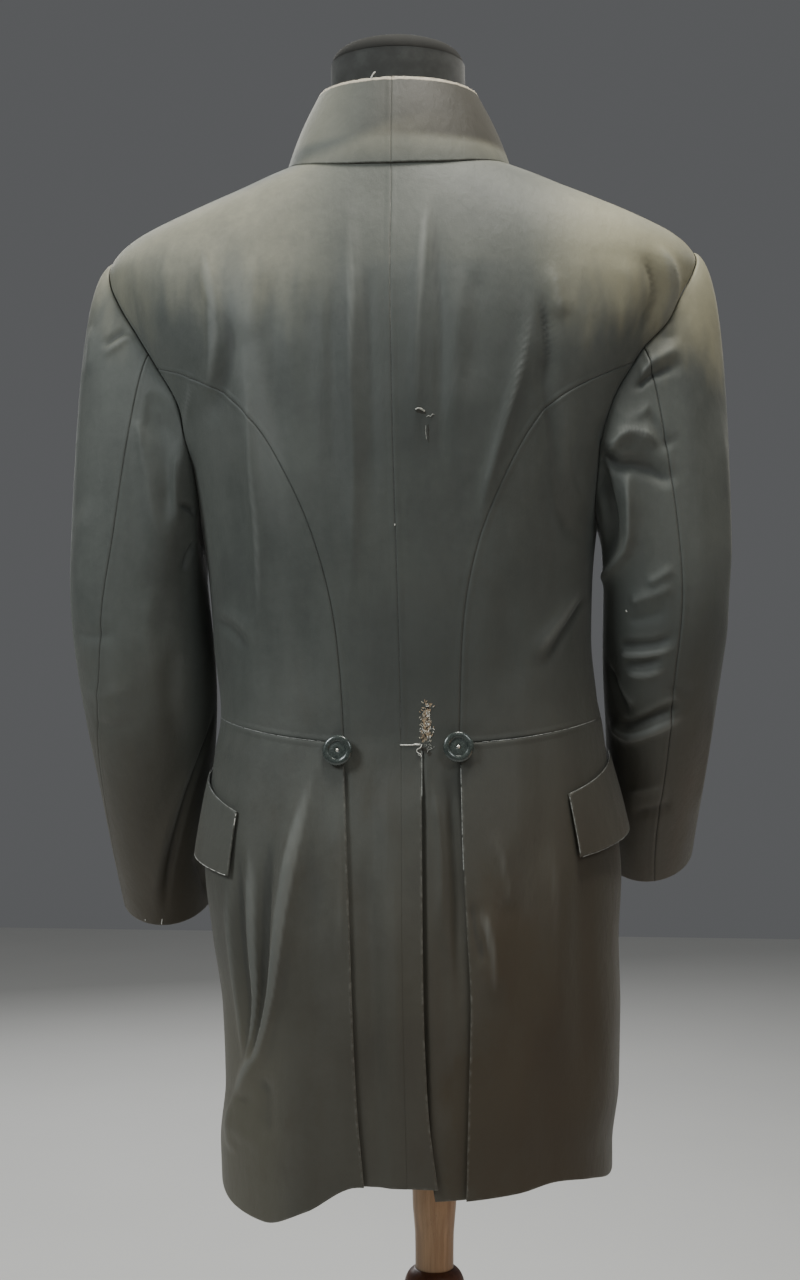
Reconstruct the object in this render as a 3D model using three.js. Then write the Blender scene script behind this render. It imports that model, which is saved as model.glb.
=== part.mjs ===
import * as THREE from 'three';

// A grey wool tailcoat on a limbless dress form with a wooden tripod.
// Millimetres, +Z up, floor at Z = 0. The coat faces -Y and the wearer's left is +X.
// The cloth is a thin wall on one body surface, cut into the panels a tailor would cut.

// Driving sizes
const clothWall = 2;
const seamGap = 0.3;
const waistZ = 919;
const waistRise = 18;
const ventTopZ = 916;
const sideNeckZ = 1388;
const shoulderTipZ = 1316;
const armpitZ = 1092;
const poleToCoat = 20.6;
const lean = 0.0209;
const leanZ = 1000;

// Horizontal sections of the coat's outer face. leftFuller is added on the left and taken
// off on the right, because the coat hangs a little to one side.
const bodyRows = [
  { z: 530, half: 160, back: 125, front: 116, square: 2.3, leftFuller: 3 },
  { z: 590, half: 161, back: 126, front: 117, square: 2.3, leftFuller: 3 },
  { z: 640, half: 161.5, back: 127, front: 118, square: 2.3, leftFuller: -3 },
  { z: 700, half: 163, back: 127, front: 118, square: 2.3, leftFuller: -4 },
  { z: 762, half: 167, back: 124, front: 117, square: 2.35, leftFuller: 0 },
  { z: 813, half: 171.5, back: 117, front: 116, square: 2.35, leftFuller: 1.5 },
  { z: 860, half: 168, back: 109, front: 113, square: 2.35, leftFuller: 2 },
  { z: 907, half: 161.5, back: 101, front: 108, square: 2.35, leftFuller: 2 },
  { z: 930, half: 157.5, back: 98, front: 106, square: 2.35, leftFuller: 1 },
  { z: 955, half: 155, back: 97, front: 105, square: 2.35, leftFuller: 3 },
  { z: 1000, half: 155.5, back: 100, front: 107, square: 2.3, leftFuller: 7 },
  { z: 1045, half: 157.5, back: 106, front: 112, square: 2.3, leftFuller: 7 },
  { z: 1092, half: 163, back: 112, front: 119, square: 2.3, leftFuller: 7 },
  { z: 1136, half: 173, back: 117, front: 123, square: 2.3, leftFuller: 6 },
  { z: 1188, half: 190, back: 120, front: 121, square: 2.25, leftFuller: 5 },
  { z: 1221, half: 206, back: 119.5, front: 116, square: 2.2, leftFuller: 5 },
  { z: 1248, half: 222, back: 118, front: 109, square: 2.1, leftFuller: 4 },
  { z: 1276, half: 237, back: 114, front: 98, square: 2, leftFuller: 3 },
  { z: 1300, half: 244.5, back: 108, front: 84, square: 1.95, leftFuller: 2 },
  { z: 1316, half: 245, back: 103, front: 75, square: 1.9, leftFuller: 1 },
  { z: 1329, half: 228, back: 98, front: 68, square: 1.9, leftFuller: 1 },
  { z: 1345, half: 200, back: 92, front: 63, square: 1.9, leftFuller: 0 },
  { z: 1355, half: 172, back: 88, front: 61, square: 1.9, leftFuller: 0 },
  { z: 1364, half: 150, back: 84, front: 59.5, square: 1.9, leftFuller: 0 },
  { z: 1375, half: 125, back: 80, front: 58, square: 1.9, leftFuller: 0 },
  { z: 1388, half: 90, back: 73, front: 56, square: 1.9, leftFuller: 0 },
];

// Armhole: how far across the section it lies at each height, behind and in front.
const armholeRows = [
  { z: 1092, behind: 1, before: 1 },
  { z: 1108, behind: 0.965, before: 0.96 },
  { z: 1136, behind: 0.938, before: 0.915 },
  { z: 1164, behind: 0.914, before: 0.9 },
  { z: 1188, behind: 0.912, before: 0.893 },
  { z: 1221, behind: 0.932, before: 0.893 },
  { z: 1248, behind: 0.946, before: 0.915 },
  { z: 1276, behind: 0.966, before: 0.953 },
  { z: 1300, behind: 0.988, before: 0.98 },
  { z: 1316, behind: 1, before: 1 },
];

// Neck seam by its turn from centre back (0) over the side neck (90) to centre front (180).
const neckRows = [
  { turn: 0, x: 0, z: 1375 },
  { turn: 20, x: 34, z: 1376.2 },
  { turn: 40, x: 62, z: 1380 },
  { turn: 60, x: 80, z: 1384 },
  { turn: 75, x: 87.5, z: 1386.5 },
  { turn: 90, x: 90, z: 1388 },
  { turn: 110, x: 87, z: 1374 },
  { turn: 130, x: 74, z: 1350 },
  { turn: 150, x: 50, z: 1328 },
  { turn: 165, x: 26, z: 1316 },
  { turn: 180, x: 0, z: 1311 },
];

// Curved seam between back and side body, from the waist to the armhole.
const sideBodyRows = [
  { x: 45, z: 919 },
  { x: 47, z: 975 },
  { x: 52, z: 1030 },
  { x: 66, z: 1085 },
  { x: 84, z: 1127 },
  { x: 115, z: 1178 },
  { x: 157, z: 1205 },
];

// Underarm seam: share of the half width, on the front face.
const underarmRows = [
  { z: 900, share: 0.945 },
  { z: 1020, share: 0.945 },
  { z: 1060, share: 0.96 },
  { z: 1094, share: 0.995 },
];

// Back pleats and vent: distance of each line from the centre plane, on each side.
const tailRows = [
  { z: 560, pleatLeft: 31, pleatRight: 43, lapEdge: 26, underEdge: 23 },
  { z: 652, pleatLeft: 37, pleatRight: 47, lapEdge: 17, underEdge: 8 },
  { z: 728, pleatLeft: 39, pleatRight: 50, lapEdge: 15.5, underEdge: -4 },
  { z: 780, pleatLeft: 40, pleatRight: 48, lapEdge: 15.5, underEdge: -5 },
  { z: 840, pleatLeft: 42, pleatRight: 46, lapEdge: 15.5, underEdge: -5 },
  { z: 919, pleatLeft: 45, pleatRight: 45, lapEdge: 16, underEdge: -5 },
];

// Hem height by the section angle in degrees, on each side.
const hemRows = [
  { angle: -20, left: 583, right: 573 },
  { angle: 0, left: 585, right: 574 },
  { angle: 10, left: 585, right: 576 },
  { angle: 25, left: 563, right: 580 },
  { angle: 42, left: 547, right: 584 },
  { angle: 60, left: 550, right: 579 },
  { angle: 80, left: 562, right: 572 },
  { angle: 95, left: 574, right: 576 },
  { angle: 105, left: 590, right: 594 },
  { angle: 114, left: 640, right: 640 },
];

// Front edge of the skirt: section angle in degrees at each height.
const frontEdgeRows = [
  { z: 560, angle: 108 },
  { z: 640, angle: 114 },
  { z: 720, angle: 126 },
  { z: 800, angle: 142 },
  { z: 870, angle: 157 },
  { z: 930, angle: 168.5 },
];

// Soft folds: a ridge (or a trough, when rise is negative) along a line on one face.
// x is positive on the wearer's left; spread is its half width across.
const foldRows = [
  { face: 'back', x: 118, z: 835, toX: 108, toZ: 655, spread: 10, rise: 4 },
  { face: 'back', x: 140, z: 800, toX: 127, toZ: 640, spread: 8, rise: -5 },
  { face: 'back', x: 70, z: 850, toX: 80, toZ: 600, spread: 16, rise: -2.5 },
  { face: 'back', x: -88, z: 860, toX: -98, toZ: 600, spread: 22, rise: 3 },
  { face: 'back', x: -128, z: 800, toX: -140, toZ: 610, spread: 14, rise: -3 },
  { face: 'back', x: 92, z: 1290, toX: 88, toZ: 1180, spread: 14, rise: 2.5 },
  { face: 'back', x: 45, z: 1300, toX: 40, toZ: 1090, spread: 12, rise: 2 },
  { face: 'back', x: -36, z: 1300, toX: -34, toZ: 1120, spread: 12, rise: 2 },
  { face: 'back', x: -90, z: 1280, toX: -92, toZ: 1180, spread: 14, rise: 2.5 },
  { face: 'back', x: 150, z: 1140, toX: 112, toZ: 980, spread: 13, rise: 2.5 },
  { face: 'back', x: -148, z: 1035, toX: -112, toZ: 980, spread: 9, rise: 2.5 },
  { face: 'front', x: 60, z: 1240, toX: 52, toZ: 1020, spread: 18, rise: 2 },
  { face: 'front', x: -70, z: 1220, toX: -55, toZ: 1040, spread: 16, rise: 2 },
  { face: 'front', x: 120, z: 860, toX: 110, toZ: 680, spread: 16, rise: 3 },
  { face: 'front', x: -126, z: 850, toX: -112, toZ: 690, spread: 14, rise: 3 },
];

// Sleeve sections below the armhole, from the upper arm to the cuff: the centre, the half
// width across and the half depth.
const sleeveRows = {
  left: [
    { x: 226, y: 2, z: 1036, across: 57.5, deep: 56 },
    { x: 223.5, y: -1, z: 995, across: 58, deep: 55 },
    { x: 221.5, y: -7, z: 953, across: 56.5, deep: 54 },
    { x: 222, y: -18, z: 915, across: 53, deep: 52 },
    { x: 224, y: -40, z: 866, across: 47, deep: 49 },
    { x: 226, y: -62, z: 822, across: 43, deep: 47 },
    { x: 226, y: -88, z: 774, across: 40, deep: 45 },
  ],
  right: [
    { x: 212, y: 2, z: 1036, across: 51.5, deep: 56 },
    { x: 208.5, y: -4, z: 998, across: 49.5, deep: 54 },
    { x: 206, y: -16, z: 956, across: 46.5, deep: 52 },
    { x: 205, y: -38, z: 914, across: 43, deep: 49 },
    { x: 201, y: -68, z: 872, across: 42, deep: 47 },
    { x: 198, y: -92, z: 842, across: 41.5, deep: 46 },
    { x: 196, y: -110, z: 820, across: 41, deep: 45 },
  ],
};

// Creases around the sleeves, by height along the sleeve (0 shoulder, 1 cuff) and angle.
const sleeveFolds = {
  left: [
    { along: 0.6, slant: 0.05, spread: 0.03, angle: 300, reach: 60, rise: 3 },
    { along: 0.74, slant: 0.08, spread: 0.03, angle: 310, reach: 60, rise: 3 },
  ],
  right: [
    { along: 0.5, slant: 0.03, spread: 0.022, angle: 320, reach: 70, rise: 4 },
    { along: 0.6, slant: 0.02, spread: 0.022, angle: 320, reach: 70, rise: 4 },
    { along: 0.7, slant: 0.05, spread: 0.025, angle: 310, reach: 60, rise: 3 },
  ],
};

// Dress form: its own horizontal sections, clear of the cloth.
const formRows = [
  { z: 640, half: 130, back: 92, front: 88, square: 2.3 },
  { z: 700, half: 141, back: 100, front: 95, square: 2.3 },
  { z: 760, half: 150, back: 104, front: 100, square: 2.3 },
  { z: 813, half: 154, back: 101, front: 101, square: 2.3 },
  { z: 860, half: 152, back: 95, front: 99, square: 2.3 },
  { z: 907, half: 146, back: 88, front: 95, square: 2.3 },
  { z: 940, half: 142, back: 85, front: 93, square: 2.3 },
  { z: 1000, half: 140, back: 88, front: 96, square: 2.3 },
  { z: 1045, half: 142, back: 95, front: 101, square: 2.3 },
  { z: 1092, half: 148, back: 101, front: 108, square: 2.3 },
  { z: 1136, half: 156, back: 106, front: 112, square: 2.3 },
  { z: 1188, half: 165, back: 109, front: 110, square: 2.25 },
  { z: 1221, half: 170, back: 109, front: 105, square: 2.2 },
  { z: 1248, half: 174, back: 108, front: 99, square: 2.1 },
  { z: 1276, half: 178, back: 105, front: 88, square: 2 },
  { z: 1300, half: 181, back: 100, front: 75, square: 1.95 },
  { z: 1316, half: 182.5, back: 97, front: 67, square: 1.9 },
  { z: 1328, half: 183, back: 93.5, front: 61, square: 1.9 },
  { z: 1338, half: 182, back: 90, front: 58, square: 1.9 },
  { z: 1349, half: 171, back: 86, front: 55, square: 1.9 },
  { z: 1358, half: 149, back: 82.4, front: 52.5, square: 1.9 },
  { z: 1368.5, half: 118.5, back: 77, front: 49, square: 1.9 },
  { z: 1380, half: 85.5, back: 69.3, front: 48.5, square: 1.85 },
  { z: 1387, half: 77, back: 63, front: 51.5, square: 1.95 },
  { z: 1397, half: 67, back: 58, front: 54.5, square: 2 },
  { z: 1412, half: 60, back: 55.5, front: 54.5, square: 2 },
  { z: 1432, half: 55.5, back: 54.5, front: 54.5, square: 2 },
  { z: 1474, half: 55.5, back: 54.5, front: 54.5, square: 2 },
];

// Colours
const wool = new THREE.MeshStandardMaterial({ color: 0x6b6d66, roughness: 0.85, metalness: 0 });
const horn = new THREE.MeshStandardMaterial({ color: 0x36403c, roughness: 0.3, metalness: 0 });
const formCloth = new THREE.MeshStandardMaterial({ color: 0x3e4448, roughness: 0.9, metalness: 0 });
const capCloth = new THREE.MeshStandardMaterial({ color: 0x565a59, roughness: 0.9, metalness: 0 });
const beech = new THREE.MeshStandardMaterial({ color: 0x8a6a45, roughness: 0.5, metalness: 0 });
const stainedWood = new THREE.MeshStandardMaterial({ color: 0x6e412d, roughness: 0.5, metalness: 0 });

const figure = new THREE.Group();

function add(name, geometry, material) {
  const mesh = new THREE.Mesh(geometry, material);
  mesh.name = name;
  figure.add(mesh);
  return mesh;
}

// Reads one column of a table at a place, smooth between its rows and never overshooting.
function read(table, column, key, at) {
  const last = table.length - 1;
  const clamped = Math.min(Math.max(at, table[0][key]), table[last][key]);
  let row = 0;
  while (row < last - 1 && clamped > table[row + 1][key]) {
    row += 1;
  }
  const secant = (i) => (table[i + 1][column] - table[i][column]) / (table[i + 1][key] - table[i][key]);
  const slope = (i) => {
    if (i === 0) return secant(0);
    if (i === last) return secant(last - 1);
    const before = secant(i - 1);
    const after = secant(i);
    return before * after <= 0 ? 0 : (2 * before * after) / (before + after);
  };
  const span = table[row + 1][key] - table[row][key];
  const t = (clamped - table[row][key]) / span;
  const start = table[row][column];
  const end = table[row + 1][column];
  const cubic = t * t * (3 - 2 * t);
  const leave = t * (1 - t) * (1 - t) * slope(row);
  const arrive = t * t * (t - 1) * slope(row + 1);
  return start + (end - start) * cubic + span * (leave + arrive);
}

// Rises from 0 at one place to 1 at another, in either direction.
function ramp(from, to, at) {
  const t = THREE.MathUtils.clamp((at - from) / (to - from), 0, 1);
  return t * t * (3 - 2 * t);
}

const radians = THREE.MathUtils.degToRad;
const sideOf = { left: 1, right: -1 };

// Section angle runs from centre back (0) round the side (90 degrees) to centre front.
function angleAcross(rows, side, x, z, face) {
  const half = halfWidth(rows, side, z);
  const share = Math.min(Math.abs(x) / half, 1);
  const turn = Math.sign(x) * Math.asin(share ** (read(rows, 'square', 'z', z) / 2));
  return face === 'front' ? Math.PI - turn : turn;
}

function halfWidth(rows, side, z) {
  const fuller = rows === bodyRows ? side * read(rows, 'leftFuller', 'z', z) : 0;
  return read(rows, 'half', 'z', z) + fuller;
}

function sectionPoint(rows, side, angle, z) {
  const power = 2 / read(rows, 'square', 'z', z);
  const across = Math.sin(angle);
  const away = Math.cos(angle);
  const depth = read(rows, away >= 0 ? 'back' : 'front', 'z', z);
  const x = halfWidth(rows, side, z) * Math.sign(across) * Math.abs(across) ** power;
  const y = depth * Math.sign(away) * Math.abs(away) ** power;
  return new THREE.Vector3(side * x, y, z);
}

function sectionNormal(rows, side, angle, z) {
  const turnStep = 0.03;
  const heightStep = 3;
  const top = rows[rows.length - 1].z;
  const upper = Math.min(z + heightStep, top);
  const around = sectionPoint(rows, side, angle + turnStep, z);
  around.sub(sectionPoint(rows, side, angle - turnStep, z));
  const along = sectionPoint(rows, side, angle, upper);
  along.sub(sectionPoint(rows, side, angle, upper - 2 * heightStep));
  return along.cross(around).multiplyScalar(side).normalize();
}

// Height of a soft fold at a place on the coat.
function foldRise(side, angle, point) {
  const face = Math.cos(angle) >= 0 ? 'back' : 'front';
  let rise = 0;
  for (const fold of foldRows) {
    if (fold.face !== face) continue;
    const dx = fold.toX - fold.x;
    const dz = fold.toZ - fold.z;
    const length = Math.hypot(dx, dz);
    const along = ((point.x - fold.x) * dx + (point.z - fold.z) * dz) / length;
    const off = ((point.x - fold.x) * dz - (point.z - fold.z) * dx) / length;
    const ends = ramp(-0.25 * length, 0.25 * length, along) * ramp(1.25 * length, 0.75 * length, along);
    rise += fold.rise * ends * Math.exp(-((off / fold.spread) ** 2));
  }
  return rise;
}

function hang(point) {
  point.x += poleToCoat + lean * (point.z - leanZ);
  return point;
}

// A place on the coat's outer face, lifted off it where one layer lies on another.
function coatPoint(side, angle, z, lift) {
  const point = sectionPoint(bodyRows, side, angle, z);
  const normal = sectionNormal(bodyRows, side, angle, z);
  const rise = foldRise(side, angle, point) + lift;
  return { point: hang(point.addScaledVector(normal, rise)), normal };
}

// A closed cloth wall from a grid of places on its outer face. Free edges that meet another
// panel are drawn in by half a seam gap.
function clothPanel(name, grid, thickness = clothWall) {
  const rows = grid.length;
  const columns = grid[0].length;
  const outer = grid.map((row) => row.map((place) => place.point.clone()));
  const inset = (r, c, r2, c2) => {
    const step = grid[r2][c2].point.clone().sub(grid[r][c].point);
    outer[r][c].addScaledVector(step.normalize(), seamGap / 2);
  };
  for (let r = 0; r < rows; r += 1) {
    inset(r, 0, r, 1);
    inset(r, columns - 1, r, columns - 2);
  }
  for (let c = 0; c < columns; c += 1) {
    inset(0, c, 1, c);
    inset(rows - 1, c, rows - 2, c);
  }
  const positions = [];
  for (const row of outer) {
    for (const point of row) positions.push(point.x, point.y, point.z);
  }
  grid.forEach((row, r) => row.forEach((place, c) => {
    const inner = outer[r][c].clone().addScaledVector(place.normal, -thickness);
    positions.push(inner.x, inner.y, inner.z);
  }));
  const middleRow = Math.floor(rows / 2);
  const middle = Math.floor(columns / 2);
  const up = outer[middleRow + 1][middle].clone().sub(outer[middleRow][middle]);
  const over = outer[middleRow][middle + 1].clone().sub(outer[middleRow][middle]);
  const flipped = over.cross(up).dot(grid[middleRow][middle].normal) < 0;
  const faces = [];
  const quad = (a, b, c, d) => {
    if (flipped) faces.push(a, c, b, a, d, c);
    else faces.push(a, b, c, a, c, d);
  };
  const at = (r, c) => r * columns + c;
  const inside = rows * columns;
  for (let r = 0; r < rows - 1; r += 1) {
    for (let c = 0; c < columns - 1; c += 1) {
      quad(at(r, c), at(r, c + 1), at(r + 1, c + 1), at(r + 1, c));
      const back = [at(r, c), at(r, c + 1), at(r + 1, c + 1), at(r + 1, c)].map((i) => i + inside);
      if (flipped) faces.push(back[0], back[1], back[2], back[0], back[2], back[3]);
      else faces.push(back[0], back[2], back[1], back[0], back[3], back[2]);
    }
    quad(at(r + 1, 0), at(r + 1, 0) + inside, at(r, 0) + inside, at(r, 0));
    const edge = columns - 1;
    quad(at(r, edge) + inside, at(r + 1, edge) + inside, at(r + 1, edge), at(r, edge));
  }
  for (let c = 0; c < columns - 1; c += 1) {
    quad(at(0, c), at(0, c) + inside, at(0, c + 1) + inside, at(0, c + 1));
    const far = rows - 1;
    quad(at(far, c + 1) + inside, at(far, c) + inside, at(far, c), at(far, c + 1));
  }
  const geometry = new THREE.BufferGeometry();
  geometry.setAttribute('position', new THREE.Float32BufferAttribute(positions, 3));
  geometry.setIndex(faces);
  return add(name, geometry, wool);
}

// Fills a grid of (u, z) places between four edges. The top and bottom edges' own shape
// fades out towards the middle.
function fillEdges(left, right, bottom, top) {
  const rows = left.length;
  const columns = bottom.length;
  const fade = 3;
  const mix = (a, b, t) => a.clone().lerp(b, t);
  return left.map((start, r) => {
    const end = right[r];
    const v = (start.y - left[0].y) / (left[rows - 1].y - left[0].y);
    return bottom.map((value, c) => {
      const u = c / (columns - 1);
      if (r === 0) return bottom[c].clone();
      if (r === rows - 1) return top[c].clone();
      if (c === 0) return start.clone();
      if (c === columns - 1) return end.clone();
      const place = mix(start, end, u);
      const topBow = top[c].clone().sub(mix(left[rows - 1], right[rows - 1], u));
      const bottomBow = bottom[c].clone().sub(mix(left[0], right[0], u));
      place.addScaledVector(topBow, v ** fade);
      place.addScaledVector(bottomBow, (1 - v) ** fade);
      return place;
    });
  });
}

const flat = (x, z) => new THREE.Vector2(x, z);

// Evenly spaced shares from 0 to 1.
function steps(count) {
  return Array.from({ length: count + 1 }, (value, i) => i / count);
}

// Armhole angles, shared by the body panels and the sleeves: 90 is the shoulder tip, 0 the
// back, -90 the armpit and 180 the front.
const armholeBack = [8, 14, 25, 38, 54, 72, 90];
const armholeUnder = [8, -10, -28, -46, -64, -82, -102];
const armholeFront = [-102, -123, -145, -164, -182, -200, -218, -236, -253, -270];

function armholePlace(side, degrees) {
  const middle = (shoulderTipZ + armpitZ) / 2;
  const reach = (shoulderTipZ - armpitZ) / 2;
  const z = middle + reach * Math.sin(radians(degrees));
  const behind = Math.cos(radians(degrees)) >= -1e-6;
  const share = read(armholeRows, behind ? 'behind' : 'before', 'z', z);
  return { x: share * halfWidth(bodyRows, side, z), z, face: behind ? 'back' : 'front' };
}

function armholeAngle(side, degrees) {
  const { x, z, face } = armholePlace(side, degrees);
  return { angle: angleAcross(bodyRows, side, x, z, face), z };
}

function neckPlace(turn) {
  return flat(read(neckRows, 'x', 'turn', turn), read(neckRows, 'z', 'turn', turn));
}

// Shoulder seam, on the ridge where the section's half width is reached.
function shoulderPlaces(side, count) {
  return steps(count).slice(1).map((share) => {
    const z = sideNeckZ + (shoulderTipZ - sideNeckZ) * share;
    return flat(halfWidth(bodyRows, side, z), z);
  });
}

const shoulderColumns = 5;
const backNeckTurns = [0, 22, 45, 68, 90];
const frontNeckTurns = [180, 157, 134, 112, 90];
const sideBodySteps = 12;
const tailSteps = 9;

function waistHeight(angle) {
  return waistZ + waistRise * Math.sin(angle) ** 2;
}

function sideBodyPlaces(side) {
  const top = armholePlace(side, armholeBack[0]);
  const points = sideBodyRows.map((row) => new THREE.Vector3(row.x, 0, row.z));
  points.push(new THREE.Vector3(top.x, 0, top.z));
  const curve = new THREE.CatmullRomCurve3(points, false, 'centripetal');
  return steps(sideBodySteps).map((share) => {
    const point = curve.getPointAt(share);
    return flat(point.x, point.z);
  });
}

function hemHeight(side, angle) {
  return read(hemRows, side > 0 ? 'left' : 'right', 'angle', THREE.MathUtils.radToDeg(angle));
}

const pleatUnderlap = 14;
const lapLift = 3.2;
const pleatLift = { left: 3.4, right: 4.6 };

// The back with its tail. Below the waist the left tail laps over the right one, and both
// run on under the skirts' pleats.
function back(hand) {
  const side = sideOf[hand];
  const pleat = hand === 'left' ? 'pleatLeft' : 'pleatRight';
  const left = [];
  const right = [];
  for (const share of steps(tailSteps)) {
    const edge = ventTopZ - 0.5;
    const z = (from) => from + (edge - from) * share;
    const ventZ = z(hemHeight(side, radians(-10)));
    const pleatZ = z(hemHeight(side, radians(18)));
    const ventX = hand === 'left' ? -read(tailRows, 'lapEdge', 'z', ventZ)
      : read(tailRows, 'underEdge', 'z', ventZ);
    left.push(flat(ventX, ventZ));
    right.push(flat(read(tailRows, pleat, 'z', pleatZ) + pleatUnderlap, pleatZ));
  }
  left.push(flat(0, waistZ - 0.6));
  right.push(flat(sideBodyRows[0].x, waistZ - 0.6));
  const seam = sideBodyPlaces(side);
  const napeDrops = [104, 84, 62, 38, 17, 5, 0];
  const napeZ = neckPlace(0).y;
  const seamTop = napeZ - napeDrops[0];
  seam.forEach((point, i) => {
    left.push(flat(0, waistZ + 0.3 + ((seamTop - waistZ - 0.3) * i) / sideBodySteps));
    right.push(i === 0 ? flat(point.x, waistZ + 0.3) : point);
  });
  for (let i = 1; i < armholeBack.length; i += 1) {
    const { x, z } = armholePlace(side, armholeBack[i]);
    left.push(flat(0, napeZ - napeDrops[i]));
    right.push(flat(x, z));
  }
  const neck = backNeckTurns.map(neckPlace);
  neck[neck.length - 1].x = halfWidth(bodyRows, side, sideNeckZ);
  const top = [...neck, ...shoulderPlaces(side, shoulderColumns)];
  const bottom = top.map((value, c) => {
    const x = left[0].x + ((right[0].x - left[0].x) * c) / (top.length - 1);
    return flat(x, hemHeight(side, angleAcross(bodyRows, side, x, left[0].y, 'back')));
  });
  const grid = fillEdges(left, right, bottom, top).map((row) => row.map(({ x, y: z }) => {
    const angle = angleAcross(bodyRows, side, x, z, 'back');
    const lapped = hand === 'left' ? ramp(24, 10, x) * ramp(948, 922, z) : 0;
    return coatPoint(side, angle, z, lapLift * lapped);
  }));
  return clothPanel(`back_${hand}`, grid);
}

function underarmAngle(side, z) {
  const share = read(underarmRows, 'share', 'z', z);
  return angleAcross(bodyRows, side, share * halfWidth(bodyRows, side, z), z, 'front');
}

const waistSideShares = [0, 0.12, 0.28, 0.46, 0.64, 0.82, 1];
const waistFrontColumns = 10;
const skirtFrontColumns = 7;

function underarmWaist(side) {
  const angle = underarmAngle(side, waistZ + waistRise);
  return waistHeight(angle);
}

function acrossAt(side, angle, z) {
  return Math.abs(sectionPoint(bodyRows, side, angle, z).x) * Math.sign(Math.sin(angle));
}

const frontLap = { left: 18, right: 6 };

function frontLift(hand, x) {
  return hand === 'left' ? lapLift * ramp(34, 22, x) : 0;
}

// Section angles of the front waist seam, from the front lap to the underarm seam.
function waistFrontAngles(hand) {
  const side = sideOf[hand];
  const underarm = underarmAngle(side, underarmWaist(side));
  const widest = acrossAt(side, underarm, waistZ);
  return steps(waistFrontColumns).map((share) => {
    const x = -frontLap[hand] + (widest + frontLap[hand]) * share;
    return share === 1 ? underarm : angleAcross(bodyRows, side, x, waistZ, 'front');
  });
}

// The side body, between the curved back seam and the underarm seam.
function sideBody(hand) {
  const side = sideOf[hand];
  const seam = sideBodyPlaces(side);
  const bottomZ = underarmWaist(side);
  const last = armholeAngle(side, armholeUnder[armholeUnder.length - 1]);
  const left = seam.map((point) => {
    const z = point.y;
    return flat(angleAcross(bodyRows, side, point.x, z, 'back'), z);
  });
  const right = seam.map((value, i) => {
    const z = bottomZ + ((last.z - bottomZ) * i) / sideBodySteps;
    return flat(i === sideBodySteps ? last.angle : underarmAngle(side, z), z);
  });
  const bottom = waistSideShares.map((share) => {
    const angle = left[0].x + (right[0].x - left[0].x) * share;
    return flat(angle, waistHeight(angle));
  });
  left[0] = bottom[0].clone();
  right[0] = bottom[bottom.length - 1].clone();
  const top = armholeUnder.map((degrees) => {
    const { angle, z } = armholeAngle(side, degrees);
    return flat(angle, z);
  });
  const grid = fillEdges(left, right, bottom, top).map((row) => row.map(({ x, y }) => (
    coatPoint(side, x, y, 0)
  )));
  return clothPanel(`side_body_${hand}`, grid);
}

// The forepart, from the waist seam to the neck and shoulder, left over right.
function forepart(hand) {
  const side = sideOf[hand];
  const underarmSteps = sideBodySteps;
  const bottomZ = underarmWaist(side);
  const last = armholeAngle(side, armholeFront[0]);
  const right = steps(underarmSteps).map((share) => {
    const z = bottomZ + (last.z - bottomZ) * share;
    const angle = share === 1 ? last.angle : underarmAngle(side, z);
    return flat(acrossAt(side, angle, z), z);
  });
  for (const degrees of armholeFront.slice(1)) {
    const { x, z } = armholePlace(side, degrees);
    right.push(flat(x, z));
  }
  const neckZ = neckPlace(180).y;
  const drops = [0, 5, 16, 34, 56, 80, 105, 130, 156, 182];
  const left = right.map((value, i) => {
    const fromTop = right.length - 1 - i;
    const below = drops.length - 1;
    const z = fromTop <= below ? neckZ - drops[fromTop]
      : waistZ + ((neckZ - drops[below] - waistZ) * i) / (right.length - 1 - below);
    return flat(-frontLap[hand], z);
  });
  const neck = [left[left.length - 1], ...frontNeckTurns.map(neckPlace)];
  neck[neck.length - 1].x = halfWidth(bodyRows, side, sideNeckZ);
  const top = [...neck, ...shoulderPlaces(side, shoulderColumns)];
  const bottom = waistFrontAngles(hand).map((angle) => {
    const z = waistHeight(angle);
    return flat(acrossAt(side, angle, z), z);
  });
  const grid = fillEdges(left, right, bottom, top).map((row) => row.map(({ x, y: z }) => {
    const angle = angleAcross(bodyRows, side, x, z, 'front');
    return coatPoint(side, angle, z, frontLift(hand, x));
  }));
  return clothPanel(`forepart_${hand}`, grid);
}

// The skirt, from the side pleat round to the cut-away front edge.
function skirtPlaces(hand, rowCount) {
  const side = sideOf[hand];
  const pleat = hand === 'left' ? 'pleatLeft' : 'pleatRight';
  const sideStart = angleAcross(bodyRows, side, sideBodyRows[0].x, waistZ, 'back');
  const underarm = underarmAngle(side, underarmWaist(side));
  const top = waistSideShares.map((share) => sideStart + (underarm - sideStart) * share);
  const front = waistFrontAngles(hand).reverse();
  top.push(...front.slice(1, skirtFrontColumns + 1));
  const topPlaces = top.map((angle) => flat(angle, waistHeight(angle)));
  const frontTop = topPlaces[top.length - 1];
  const hemStart = hemHeight(side, radians(12));
  const hemEnd = hemRows[hemRows.length - 1].left;
  const left = [];
  const right = [];
  for (const share of steps(rowCount)) {
    const backZ = hemStart + (waistZ - hemStart) * share;
    const frontZ = hemEnd + (frontTop.y - hemEnd) * share;
    const pleatX = read(tailRows, pleat, 'z', backZ);
    left.push(flat(angleAcross(bodyRows, side, pleatX, backZ, 'back'), backZ));
    right.push(flat(radians(read(frontEdgeRows, 'angle', 'z', frontZ)), frontZ));
  }
  left[rowCount] = topPlaces[0].clone();
  right[rowCount] = frontTop.clone();
  const bottom = steps(top.length - 1).map((share) => {
    const angle = left[0].x + (right[0].x - left[0].x) * share;
    return flat(angle, hemHeight(side, angle));
  });
  left[0] = bottom[0].clone();
  right[0] = bottom[bottom.length - 1].clone();
  return fillEdges(left, right, bottom, topPlaces);
}

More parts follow.
